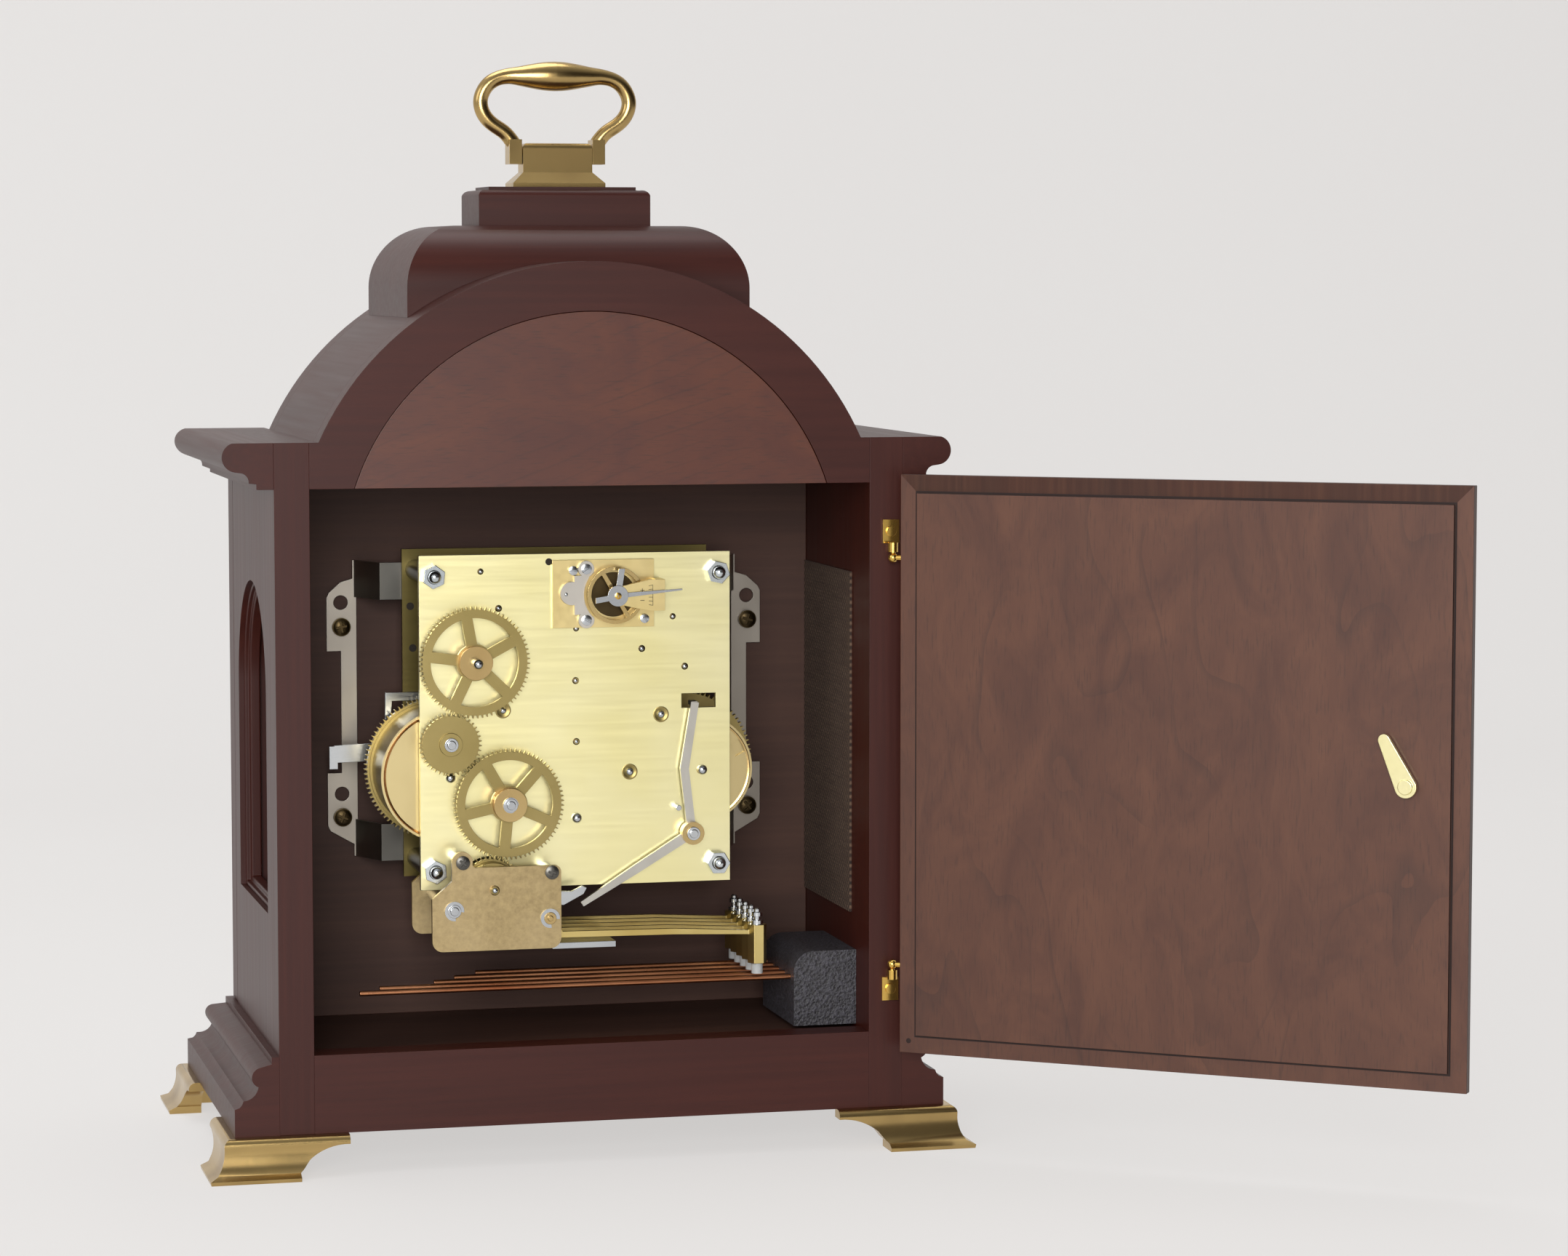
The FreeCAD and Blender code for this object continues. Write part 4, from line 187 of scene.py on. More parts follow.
def brushed_metal(tree, body, shade, rough, lines=(900.0, 900.0, 30.0), depth=0.10):
    """Rolled or machined metal: fine parallel scratches along one way, and a slow drift of tone
    where the sheet has dulled."""
    place = add(tree, "TexCoord").outputs["Object"]
    scratch_map = add(tree, "Mapping", {"Vector": place, "Scale": lines})
    scratch = add(tree, "TexNoise", {"Vector": scratch_map.outputs[0], "Scale": 1.0, "Detail": 2.0})
    drift = add(tree, "TexNoise", {"Vector": place, "Scale": 22.0, "Detail": 3.0})
    mask = add(tree, "MapRange", {"Value": drift.outputs["Fac"], "From Min": 0.35, "From Max": 0.70})
    colour = blend_colour(tree, mask.outputs[0], linear(body), linear(shade))
    smear = add(tree, "MapRange", {"Value": scratch.outputs["Fac"], "To Min": rough - 0.05,
                                   "To Max": rough + 0.07})
    bump = add(tree, "Bump", {"Height": scratch.outputs["Fac"], "Strength": depth, "Distance": 0.00004})
    return add(tree, "BsdfPrincipled", {"Base Color": colour, "Metallic": 1.0,
                                        "Roughness": smear.outputs[0], "Normal": bump.outputs[0]})


def passivated_sheet(tree):
    """Zinc-plated steel, yellow passivated: a dull gold with a mottled, slightly rainbow tone."""
    place = add(tree, "TexCoord").outputs["Object"]
    mottle = add(tree, "TexNoise", {"Vector": place, "Scale": 420.0, "Detail": 5.0, "Roughness": 0.7})
    cloud = add(tree, "TexNoise", {"Vector": place, "Scale": 60.0, "Detail": 3.0})
    mask = add(tree, "MapRange", {"Value": mottle.outputs["Fac"], "From Min": 0.35, "From Max": 0.68})
    colour = blend_colour(tree, mask.outputs[0], linear("#b09b70"), linear("#97845f"))
    mask2 = add(tree, "MapRange", {"Value": cloud.outputs["Fac"], "From Min": 0.40, "From Max": 0.75,
                                   "To Max": 0.5})
    colour = blend_colour(tree, mask2.outputs[0], colour, linear("#bba67e"))
    bump = add(tree, "Bump", {"Height": mottle.outputs["Fac"], "Strength": 0.15, "Distance": 0.00005})
    return add(tree, "BsdfPrincipled", {"Base Color": colour, "Metallic": 0.85, "Roughness": 0.42,
                                        "Normal": bump.outputs[0]})


def crinkle_paint(tree):
    """Cast iron under black crinkle paint: wrinkles about 1 mm apart with dull tops, their tops painted
    lighter as painted light and their troughs darker as painted shade.
    """
    place = add(tree, "TexCoord").outputs["Object"]
    wrinkle = add(tree, "TexVoronoi", {"Vector": place, "Scale": 900.0, "Randomness": 1.0},
                  feature="SMOOTH_F1")
    grit = add(tree, "TexNoise", {"Vector": place, "Scale": 1500.0, "Detail": 3.0})
    height = add(tree, "Math", {0: wrinkle.outputs["Distance"], 1: grit.outputs["Fac"]}, operation="ADD")
    # Colour follows the wrinkles' height: painted light on the tops, painted shade in the troughs.
    mask = add(tree, "MapRange", {"Value": height.outputs[0], "From Min": 0.7, "From Max": 1.3})
    colour = blend_colour(tree, mask.outputs[0], linear("#2b292b"), linear("#45434a"))
    bump = add(tree, "Bump", {"Height": height.outputs[0], "Strength": 0.9, "Distance": 0.0005})
    return add(tree, "BsdfPrincipled", {"Base Color": colour, "Roughness": 0.52, "Normal": bump.outputs[0]})


def woven_cloth(tree):
    """Open-weave sound cloth: plain weave of brown threads, weave_pitch apart, lighter where the weft lies on
    top as painted light, and nearly black between the threads as painted shade."""
    place = add(tree, "TexCoord").outputs["Object"]
    parts = add(tree, "SeparateXYZ", {"Vector": place})
    waves = []
    for axis in (1, 2):
        angle = add(tree, "Math", {0: parts.outputs[axis], 1: math.pi / (weave_pitch * MM)},
                    operation="MULTIPLY")
        waves.append(add(tree, "Math", {0: angle.outputs[0]}, operation="SINE"))
    both = add(tree, "Math", {0: waves[0].outputs[0], 1: waves[1].outputs[0]}, operation="MULTIPLY")
    # Thread tops are painted light and the gaps between threads are painted shade, from the weave's own
    # height.
    top = add(tree, "MapRange", {"Value": both.outputs[0], "From Min": -0.6, "From Max": 0.7})
    slub_map = add(tree, "Mapping", {"Vector": place, "Scale": (120.0, 60.0, 700.0)})
    slub = add(tree, "TexNoise", {"Vector": slub_map.outputs[0], "Scale": 1.0, "Detail": 3.0})
    colour = blend_colour(tree, top.outputs[0], linear("#211510"), linear("#66503f"))
    worn = add(tree, "MapRange", {"Value": slub.outputs["Fac"], "From Min": 0.35, "From Max": 0.7,
                                  "To Max": 0.7})
    colour = blend_colour(tree, worn.outputs[0], colour, linear("#3d2b21"))
    fuzz = add(tree, "TexNoise", {"Vector": place, "Scale": 4000.0, "Detail": 2.0})
    bump = add(tree, "Bump", {"Height": fuzz.outputs["Fac"], "Strength": 0.4, "Distance": 0.0001})
    return add(tree, "BsdfPrincipled", {"Base Color": colour, "Roughness": 0.9, "Normal": bump.outputs[0]})


def clear_glass(tree):
    """Float glass: clear, with a faint waviness."""
    place = add(tree, "TexCoord").outputs["Object"]
    wave = add(tree, "TexNoise", {"Vector": place, "Scale": 12.0})
    bump = add(tree, "Bump", {"Height": wave.outputs["Fac"], "Strength": 0.02, "Distance": 0.0003})
    return add(tree, "BsdfPrincipled", {"Base Color": linear("#f4f8f7"), "Roughness": 0.02, "IOR": 1.5,
                                        "Transmission Weight": 1.0, "Normal": bump.outputs[0]})


def moulded_nylon(tree):
    """Natural nylon: milky and slightly see-through at the tips."""
    place = add(tree, "TexCoord").outputs["Object"]
    cloud = add(tree, "TexNoise", {"Vector": place, "Scale": 500.0})
    colour = blend_colour(tree, cloud.outputs["Fac"], linear("#b9bcbc"), linear("#d6d8d6"))
    return add(tree, "BsdfPrincipled", {"Base Color": colour, "Roughness": 0.4, "IOR": 1.53,
                                        "Transmission Weight": 0.35})


def dark_recess(tree):
    """The shadowed inside of a drilled hole or a screw's slot: brown-black metal."""
    place = add(tree, "TexCoord").outputs["Object"]
    cloud = add(tree, "TexNoise", {"Vector": place, "Scale": 800.0})
    colour = blend_colour(tree, cloud.outputs["Fac"], linear("#17110b"), linear("#2c2114"))
    return add(tree, "BsdfPrincipled", {"Base Color": colour, "Roughness": 0.7, "Metallic": 0.3})


# A finish's short name, its material's name, and the function that makes it with the function's settings.
finish = {key: material(name, build, *settings) for key, name, build, *settings in (
    ("case", "mahogany_satin_lacquer", lacquered_wood, "#3c130a", "#310e07", "#4a1c10", 0.38, 0.05),
    ("veneer", "mahogany_veneer_tympanum", figured_veneer, "#471d10", "#250e07", "#552712", 7.0, 0.42, 5.0),
    ("door", "plywood_door_stained", figured_veneer, "#462415", "#2e160d", "#583320",
     19.0, 0.04, 8.0, 0.42, 0.1),
    ("rim", "door_rim_stained", lacquered_wood, "#43200f", "#2d160c", "#5a3823", 0.42, 0.1),
    # Dark wood tone: painted shade in the step round the door's field and in the thin line beside it; the
    # nail mark's putty is really this dark.
    ("groove", "door_groove_shade_and_putty", lacquered_wood, "#2a1914", "#1d110e", "#33201a", 0.6, 0.0),
    ("board", "stained_board_matt", lacquered_wood, "#472e24", "#36211a", "#533a2f", 0.55, 0.0),
    ("antique", "brass_cast_antiqued", cast_brass, "#bb9f68", "#8a7148"),
    ("polished", "brass_pressed_polished", cast_brass, "#dcb55e", "#a88443", 0.18),
    ("plate", "brass_plate_lacquered", brushed_metal, "#fbf3bf", "#f6ecae", 0.30, (30.0, 900.0, 900.0)),
    # The front plate's brass is the plate brass made much darker: painted shade.
    ("front", "brass_front_plate_painted_shade", brushed_metal, "#6b6038", "#5a5030", 0.36, (30.0, 900.0, 900.0)),
    ("wheel", "brass_wheel_milled", brushed_metal, "#a08f5d", "#90804f", 0.36, (700.0, 700.0, 700.0), 0.2),
    ("hub", "brass_hub_turned", brushed_metal, "#cbb27c", "#b89a66", 0.24, (60.0, 1600.0, 60.0)),
    ("hub_side", "brass_hub_coppery", brushed_metal, "#b47f4a", "#8e5f35", 0.26, (60.0, 1600.0, 60.0)),
    ("cap", "brass_barrel_cap_spun", brushed_metal, "#cbb988", "#bda979", 0.36, (900.0, 30.0, 900.0)),
    ("hammer", "brass_hammer_drawn", brushed_metal, "#dcc886", "#bfa45e", 0.30, (30.0, 900.0, 900.0)),
    ("jewel_plate", "brass_platform_gilt", brushed_metal, "#efdba0", "#e2cb8a", 0.30, (400.0, 400.0, 400.0)),
    ("balance", "brass_balance_polished", brushed_metal, "#dcc48c", "#c8ab6c", 0.20, (400.0, 400.0, 400.0)),
    ("steel", "steel_nickel_plated", brushed_metal, "#cfd2d4", "#aeb3b8", 0.20, (200.0, 900.0, 900.0)),
    ("nut", "steel_zinc_plated", brushed_metal, "#d4dadc", "#b3bbc0", 0.24, (900.0, 300.0, 900.0)),
    # Dull turned steel; its dark tone is also painted shade on the brackets' inner flanges.
    ("pillar", "steel_turned_dull_and_flange_shade", brushed_metal, "#66645f", "#53514d", 0.34, (900.0, 60.0, 900.0)),
    # Browned steel for screws; the same dark tone is painted shade in the pivot sinks and the escapement's
    # well.
    ("bronze", "steel_browned_and_painted_shade", brushed_metal, "#57492f", "#3a3022", 0.34, (500.0, 500.0, 500.0)),
    ("selector", "steel_selector_satin", brushed_metal, "#cbc8c0", "#b4b0a6", 0.34, (500.0, 500.0, 60.0)),
    ("bracket", "steel_bracket_bright", brushed_metal, "#a39c92", "#8d867c", 0.36, (900.0, 900.0, 40.0)),
    ("bridge", "nickel_bridge_matt", brushed_metal, "#bdb8b0", "#aaa59c", 0.42, (400.0, 400.0, 400.0)),
    ("cover", "steel_yellow_passivated", passivated_sheet),
    ("copper", "steel_rod_coppered", brushed_metal, "#c58a63", "#a0603f", 0.28, (30.0, 900.0, 900.0)),
    ("silver", "brass_silvered", brushed_metal, "#dcdcd6", "#cfcfc8", 0.40, (700.0, 700.0, 700.0)),
    ("blued", "steel_blued", brushed_metal, "#1c2750", "#141b38", 0.25, (300.0, 300.0, 300.0)),
    ("crinkle", "iron_black_crinkle", crinkle_paint),
    ("cloth", "sound_cloth_woven", woven_cloth),
    ("glass", "glass_float", clear_glass),
    ("nylon", "nylon_natural", moulded_nylon),
    ("recess", "drilled_hole_shadow", dark_recess),
    ("ink", "engraved_line_filled", dark_recess),
)}


# ---- meshes ----
def link_new(name, data):
    """An object for some data, in the scene."""
    thing = bpy.data.objects.new(name, data)
    scene.collection.objects.link(thing)
    return thing


def keep_piece(name, mesh, body, look, smooth=True):
    """Puts a mesh in the scene with its finish, riding on a CAD body."""
    piece = link_new(name, mesh)
    mesh.materials.clear()
    mesh.materials.append(finish[look])
    mesh.polygons.foreach_set("use_smooth", [smooth] * len(mesh.polygons))
    if smooth:
        mesh.set_sharp_from_angle(angle=hard_angle)
    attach(piece, body)
    return piece


def solid(name, shapes, body, look, smooth=True):
    """Joins shapes, each its points in millimetres and its rows of point numbers, into one piece whose
    faces all look outwards."""
    points, faces = [], []
    for place, rows in shapes:
        start = len(points)
        points += (np.asarray(place, float) * MM).tolist()
        faces += [[start + v for v in row] for row in rows]
    mesh = bpy.data.meshes.new(name)
    mesh.from_pydata(points, [], faces)
    mesh.update()
    work = bmesh.new()
    work.from_mesh(mesh)
    bmesh.ops.recalc_face_normals(work, faces=work.faces)
    work.to_mesh(mesh)
    work.free()
    return keep_piece(name, mesh, body, look, smooth)


def mark_grain(mesh, along):
    """Writes grain_line, the place in millimetres with X along the grain. Each loose board takes its own
    longest side, unless along names an axis, and is shifted so that no two boards match."""
    count = len(mesh.vertices)
    points = np.empty(count * 3)
    mesh.vertices.foreach_get("co", points)
    points = points.reshape(-1, 3) / MM
    edges = np.empty(len(mesh.edges) * 2, dtype=int)
    mesh.edges.foreach_get("vertices", edges)
    edges = edges.reshape(-1, 2)
    group = np.arange(count)
    while True:
        lowest = np.minimum(group[edges[:, 0]], group[edges[:, 1]])
        before = group.copy()
        np.minimum.at(group, edges[:, 0], lowest)
        np.minimum.at(group, edges[:, 1], lowest)
        group = group[group]
        if np.array_equal(before, group):
            break
    line = np.empty((count, 3))
    for number, first in enumerate(np.unique(group)):
        inside = group == first
        size = np.ptp(points[inside], axis=0)
        axis = int(np.argmax(size)) if along is None else along
        order = [axis, (axis + 1) % 3, (axis + 2) % 3]
        line[inside] = points[inside][:, order] + board_shift * (number + 1) * np.array([1.0, 0.37, 0.61])
    attribute = mesh.attributes.new("grain_line", "FLOAT_VECTOR", "POINT")
    attribute.data.foreach_set("vector", line.ravel())


def merged_copy(node):
    """A copy of a CAD node's mesh with its loose triangles joined and its flat faces made whole."""
    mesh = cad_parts[node].data.copy()
    work = bmesh.new()
    work.from_mesh(mesh)
    bmesh.ops.remove_doubles(work, verts=work.verts, dist=weld)
    bmesh.ops.dissolve_limit(work, angle_limit=flat_angle, verts=work.verts, edges=work.edges)
    work.to_mesh(mesh)
    work.free()
    mesh.name = node + "_eased"
    return mesh


def ease(node, body, look, width, along=None, grain=False):
    """A CAD node's own solid with its sharp corners rounded by a small bevel, in millimetres."""
    mesh = merged_copy(node)
    for name in [a.name for a in mesh.attributes if a.name.startswith("custom_normal")]:
        mesh.attributes.remove(mesh.attributes[name])
    if grain:
        mark_grain(mesh, along)
    piece = keep_piece(node + "_eased", mesh, body, look)
    mesh.set_sharp_from_angle(angle=corner_angle)
    bevel = piece.modifiers.new("corner", "BEVEL")
    bevel.width = width * MM
    bevel.segments = 2
    bevel.limit_method = "ANGLE"
    bevel.angle_limit = corner_angle
    bevel.harden_normals = True
    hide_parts(node)
    return piece


def paint(piece, look, chosen):
    """Gives some faces of a piece a second finish: chosen takes each face's lowest and highest corner, in
    millimetres, and its normal, and returns which faces."""
    mesh = piece.data
    count = len(mesh.polygons)
    points, normal = np.empty(len(mesh.vertices) * 3), np.empty(count * 3)
    mesh.vertices.foreach_get("co", points)
    mesh.polygons.foreach_get("normal", normal)
    first, used = np.empty(count, dtype=np.int32), np.empty(len(mesh.loops), dtype=np.int32)
    mesh.polygons.foreach_get("loop_start", first)
    mesh.loops.foreach_get("vertex_index", used)
    spots = points.reshape(-1, 3)[used] / MM
    low, high = np.minimum.reduceat(spots, first), np.maximum.reduceat(spots, first)
    index = np.empty(count, dtype=np.int32)
    mesh.polygons.foreach_get("material_index", index)
    mesh.materials.append(finish[look])
    index[chosen(low, high, normal.reshape(-1, 3))] = len(mesh.materials) - 1
    mesh.polygons.foreach_set("material_index", index)


def turned(x, z, profile, sides=28):
    """A round solid about an axis along Y: (x + r cos t, y, z + r sin t) for each (r, y) of the profile,
    which runs outwards and up and starts and ends on the axis."""
    angle = np.arange(sides) * 2 * np.pi / sides
    points, rows = [(x, profile[0][1], z)], []
    for r, y in profile[1:-1]:
        points += [(x + r * np.cos(t), y, z + r * np.sin(t)) for t in angle]
    points.append((x, profile[-1][1], z))
    rings = len(profile) - 2
    for j in range(sides):
        k = (j + 1) % sides
        rows.append((0, 1 + j, 1 + k))
        for i in range(rings - 1):
            a, b = 1 + i * sides, 1 + (i + 1) * sides
            rows.append((a + j, b + j, b + k, a + k))
        rows.append((len(points) - 1, 1 + (rings - 1) * sides + k, 1 + (rings - 1) * sides + j))
    return points, rows


def domed(r, low, high, bulge):
    """The profile of a round head: straight side, then a rounded top that rises by bulge."""
    lift = [(r * math.cos(t), high - bulge + bulge * math.sin(t)) for t in np.linspace(0, math.pi / 2, 7)]
    return [(0, low), (r, low)] + lift[:-1] + [(0, high)]


def driven_head(x, z, r, low, high, bulge, kind, turn, depth, rings=22, sides=64):
    """A screw head seen from +Y with a real recess: height = low side + dome - depth inside the cross
    or slot, on a polar grid whose rings reach from the axis to the rim."""
    arm, half = (0.62 * r, 0.13 * r) if kind == "cross" else (2 * r, 0.12 * r)
    tilt = math.radians(turn)
    points, rows = [(x, high - depth, z)], []
    for i in range(1, rings + 1):
        s = i / rings
        for j in range(sides):
            t = j * 2 * math.pi / sides
            u, v = r * s * math.cos(t - tilt), r * s * math.sin(t - tilt)
            inside = (abs(v) < half and abs(u) < arm) or (kind == "cross" and abs(u) < half and abs(v) < arm)
            y = high - bulge * s ** 2.5 - (depth if inside else 0.0)
            points.append((x + r * s * math.cos(t), max(y, low + 0.05), z + r * s * math.sin(t)))
    last = 1 + rings * sides
    points += [(x + r * math.cos(j * 2 * math.pi / sides), low, z + r * math.sin(j * 2 * math.pi / sides))
               for j in range(sides)] + [(x, low, z)]
    for j in range(sides):
        k = (j + 1) % sides
        rows.append((0, 1 + k, 1 + j))
        for i in range(rings):
            a, b = 1 + i * sides, 1 + (i + 1) * sides
            rows.append((a + j, a + k, b + k, b + j))
        rows.append((last + sides, last + j, last + k))
    return points, rows


def open_ring(x, z, inner, outer, low, high, start, sweep, steps=26):
    """A flat spring clip: a band of a ring from start through sweep degrees."""
    points, rows = [], []
    for t in np.radians(np.linspace(start, start + sweep, steps)):
        for r, y in ((inner, low), (outer, low), (outer, high), (inner, high)):
            points.append((x + r * math.cos(t), y, z + r * math.sin(t)))
    for i in range(steps - 1):
        a, b = 4 * i, 4 * i + 4
        for c in range(4):
            d = (c + 1) % 4
            rows.append((a + c, b + c, b + d, a + d))
    rows += [(0, 1, 2, 3), (4 * steps - 1, 4 * steps - 2, 4 * steps - 3, 4 * steps - 4)]
    return points, rows


def strip(x0, z0, x1, z1, width, low, high):
    """A straight bar with square ends, flat on a face that looks along +Y."""
    long = math.hypot(x1 - x0, z1 - z0)
    px, pz = -(z1 - z0) / long * width / 2, (x1 - x0) / long * width / 2
    foot = [(x0 + px, z0 + pz), (x0 - px, z0 - pz), (x1 - px, z1 - pz), (x1 + px, z1 + pz)]
    points = [(x, low, z) for x, z in foot] + [(x, high, z) for x, z in foot]
    return points, [(0, 1, 2, 3), (7, 6, 5, 4)] + [(i, i + 4, (i + 1) % 4 + 4, (i + 1) % 4) for i in range(4)]


def look_of(node, look):
    """Gives a CAD node that stays its finish."""
    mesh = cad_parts[node].data
    mesh.materials.clear()
    mesh.materials.append(finish[look])


# ---- the case ----
# The wide flat faces at the back meet without a visible joint, so their corners are hardly eased.
pieces = {}
for node, look, width, along in (
        ("side_panels", "case", 0.15, 2), ("bottom_rails", "case", 0.1, 0),
        ("base_moulding", "case", 0.15, None), ("cornice_moulding", "case", 0.15, None),
        ("back_arch_frame", "case", 0.15, 0), ("front_arch_frame", "case", 0.5, 0),
        ("arch_roof", "case", 0.15, 1), ("bell_top", "case", 0.4, 0),
        ("handle_plinth", "case", 0.5, 0), ("tympanum_panel", "veneer", 0.15, 0),
        ("window_mouldings", "case", 0.6, None), ("floor_board", "board", 0.2, 0),
        ("dial_board", "board", 0.3, 0)):
    slot = {"case": "mahogany", "veneer": "mahogany_veneer", "board": "dark_board"}[look]
    pieces[node] = ease(node, "case", look, width, along, grain=True)
pieces["back_door_panel"] = ease("back_door_panel", "back_door", "door", 0.35, 2, grain=True)
ease("front_door_frame", "front_door", "case", 0.6, None, grain=True)

# The door's own axes at rest: u runs from the hinge along its width, v through its thickness, away from
# the side that the photograph shows.
hinge = np.array([-115.0, 82.1])    # the hinge's axis
swing = math.radians(143.0)         # how far the door stands open
across = np.array([math.cos(swing), math.sin(swing)])
through = np.array([-math.sin(swing), math.cos(swing)])
door_near, door_far = 4.5, 225.5    # its upright edges, along u
door_low, door_high = 38.6, 259.6   # its lower and upper edge
door_face = -3.6                    # its side in the photograph, along v
field_inset = 7.0                   # width of the rim round the field
step_reach = 0.3                    # faces this near the field's border belong to its step


def border(inset):
    """The door's corners in u and Z, drawn in by inset."""
    near, far, low, high = door_near + inset, door_far - inset, door_low + inset, door_high - inset
    return [(near, low), (far, low), (far, high), (near, high)]


def into_field(low, high):
    """How far the middle of each face lies inside the border of the door's field."""
    middle = (low + high) / 2
    u = (middle[:, :2] - hinge) @ across
    (near, bottom), (far, top) = border(field_inset)[::2]
    return np.minimum.reduce([u - near, far - u, middle[:, 2] - bottom, top - middle[:, 2]])


def in_rim(low, high, normal):
    """Faces of the door outside its field."""
    return into_field(low, high) < -step_reach


def in_groove(low, high, normal):
    """The step round the field."""
    return (np.abs(into_field(low, high)) < step_reach) & (np.abs(normal[:, :2] @ through) < 0.5)


def door_point(u, v, z):
    """A place on the open door from its own axes."""
    spot = hinge + u * across + v * through
    return spot[0], spot[1], z


def groove_line(inset, width, v):
    """A narrow frame, 0.05 mm thick, that lies on the door's rim just outside the field: a dark line of
    painted shadow beside the groove.
    """
    points = [door_point(u, depth, z) for depth in (v, v - 0.05)
              for ring in (border(inset), border(inset + width)) for u, z in ring]
    rows = []
    for i in range(4):
        k = (i + 1) % 4
        rows += [(a + i, a + k, b + k, b + i) for a, b in ((0, 4), (12, 8), (8, 0), (4, 12))]
    return points, rows


def on_door(shape, u, v, z):
    """A shape made about the Y axis, turned to stand on the door's face."""
    points, rows = shape
    return [door_point(u + px, v - py, z + pz) for px, py, pz in points], rows


paint(pieces["back_door_panel"], "rim", in_rim)
# The step's faces are painted dark: painted shade in the groove.
paint(pieces["back_door_panel"], "groove", in_groove)
line_width = 0.9
nail = [(0, -0.05), (1.0, -0.05), (1.0, 0.02), (0.6, 0.06), (0, 0.06)]
nail_place = (8.2, door_face, door_low + 4.6)
# A thin dark frame on the rim beside the step: painted shadow of the groove.
solid("door_groove_shadow_line", [groove_line(field_inset - line_width, line_width, door_face + 0.02)],
      "back_door", "groove", smooth=False)
solid("door_nail_mark", [on_door(turned(0, 0, nail), *nail_place)], "back_door", "groove")

for node, body, slot, look, width in (
        ("handle_pedestal", "case", "antique_brass", "antique", 0.6),
        ("handle_bail", "handle", "antique_brass", "antique", 0.5),
        ("bracket_feet", "case", "antique_brass", "antique", 0.5),
        ("case_screws", "case", "antique_brass", "polished", 0.1),
        ("hinge_plates", "case", "antique_brass", "polished", 0.25),
        ("back_hinge_arms", "back_door", "antique_brass", "polished", 0.2),
        ("latch_lever", "latch", "plate_brass", "plate", 0.3),
        ("front_door_knob", "front_door", "antique_brass", "antique", 0.3),
        ("chime_block", "case", "cast_black", "crinkle", 1.6),
        ("chime_rods", "case", "copper_rod", "copper", 0.2),
        ("rear_plate", "case", "plate_brass", "plate", 0.12),
        # The front plate takes the darker brass: painted shade.
        ("front_plate", "case", "plate_brass", "front", 0.12),
        ("plate_pillars", "case", "steel", "pillar", 0.5),
        ("movement_brackets", "case", "steel", "bracket", 0.12),
        ("movement_screws", "case", "steel", "nut", 0.3),
        ("movement_studs", "case", "steel", "steel", 0.2),
        ("dial_plate", "case", "plate_brass", "plate", 0.2),
        ("chapter_rings", "case", "silvered", "silver", 0.2),
        ("chime_covers", "case", "passivated_steel", "cover", 0.2),
        ("hammer_rest", "case", "steel", "steel", 0.15),
        ("platform_plate", "case", "plate_brass", "jewel_plate", 0.1),
        ("platform_bridges", "case", "plate_brass", "jewel_plate", 0.15),
        ("minute_hand", "minute_arbor", "blued_steel", "blued", 0.15),
        ("hour_hand", "hour_pipe", "blued_steel", "blued", 0.15),
        ("centre_wheel", "minute_arbor", "wheel_brass", "wheel", 0.08),
        ("minute_wheel", "minute_wheel", "wheel_brass", "wheel", 0.08),
        ("third_wheel", "third_wheel", "wheel_brass", "wheel", 0.08),
        ("time_barrel", "time_barrel", "wheel_brass", "wheel", 0.15),
        ("chime_barrel", "chime_barrel", "wheel_brass", "wheel", 0.15),
        ("strike_barrel", "strike_barrel", "wheel_brass", "wheel", 0.15),
        ("balance_wheel", "balance", "plate_brass", "balance", 0.12),
        ("regulator", "regulator", "steel", "steel", 0.1),
        ("chime_wheel_upper", "chime_upper", "wheel_brass", "wheel", 0.1),
        ("chime_idler", "chime_idler", "wheel_brass", "wheel", 0.1),
        ("chime_wheel_lower", "chime_lower", "wheel_brass", "wheel", 0.1),
        ("chime_drum", "chime_drum", "wheel_brass", "wheel", 0.15),
        ("selector_lever", "selector", "steel", "selector", 0.15),
        ("silence_lever", "silence", "steel", "steel", 0.15)):
    pieces[node] = ease(node, body, look, width)
hammer_names = ["hammer_%d" % number for number in range(1, 6)]
for name in hammer_names:
    pieces[name] = ease(name, name, "hammer", 0.2)
look_of("front_door_glass", "glass")

# ---- second finishes ----
rear_y, cover_y = 42.6, 56.8        # outer faces of the rear plate and of the chime cover
# Axes along Y, as X and Z.
upper_wheel, lower_wheel = (40.3, 188.1), (27.4, 133.6)
chime_barrel, strike_barrel = (49.2, 144.0), (-49.2, 144.0)
balance, selector, drum = (-14.4, 212.8), (-44.7, 120.1), (34.7, 101.9)
studs = ((50.2, 94.4), (13.3, 90.5))
# Radii of the spoked wheels' hubs: edge, start of the coppery wall, and pin.
hub_edge, hub_wall, hub_pin = 6.7, 5.6, 2.4
cap_edge, boss_edge, stud_edge = 26.8, 4.6, 3.0
flange_x = 75.6                     # the brackets' inner flanges lie within this of the middle
train_bridge = ((-8.0, 20.0), (190.0, 230.0))
# Each hammer's head: its range along X, and the ranges along Z of its screw and its tip.
head_x, head_screw, head_tip = (-71.3, -66.3), (84.6, 99.0), (60.0, 69.8)


def near_axis(axis, inner, outer):
    """A test for faces that lie within outer of an axis along Y, with their middle beyond inner."""
    def test(low, high, normal):
        middle = (low + high) / 2
        away = np.hypot(middle[:, 0] - axis[0], middle[:, 2] - axis[1])
        reach = np.maximum.reduce([high[:, 0] - axis[0], axis[0] - low[:, 0],
                                   high[:, 2] - axis[1], axis[1] - low[:, 2]])
        return (away >= inner) & (reach < outer)
    return test


def every(*tests):
    """A test that holds where all the others do."""
    return lambda low, high, normal: np.logical_and.reduce([test(low, high, normal) for test in tests])


def around_y(low, high, normal):
    """Faces that stand upright to the plates."""
    return np.abs(normal[:, 1]) < 0.7


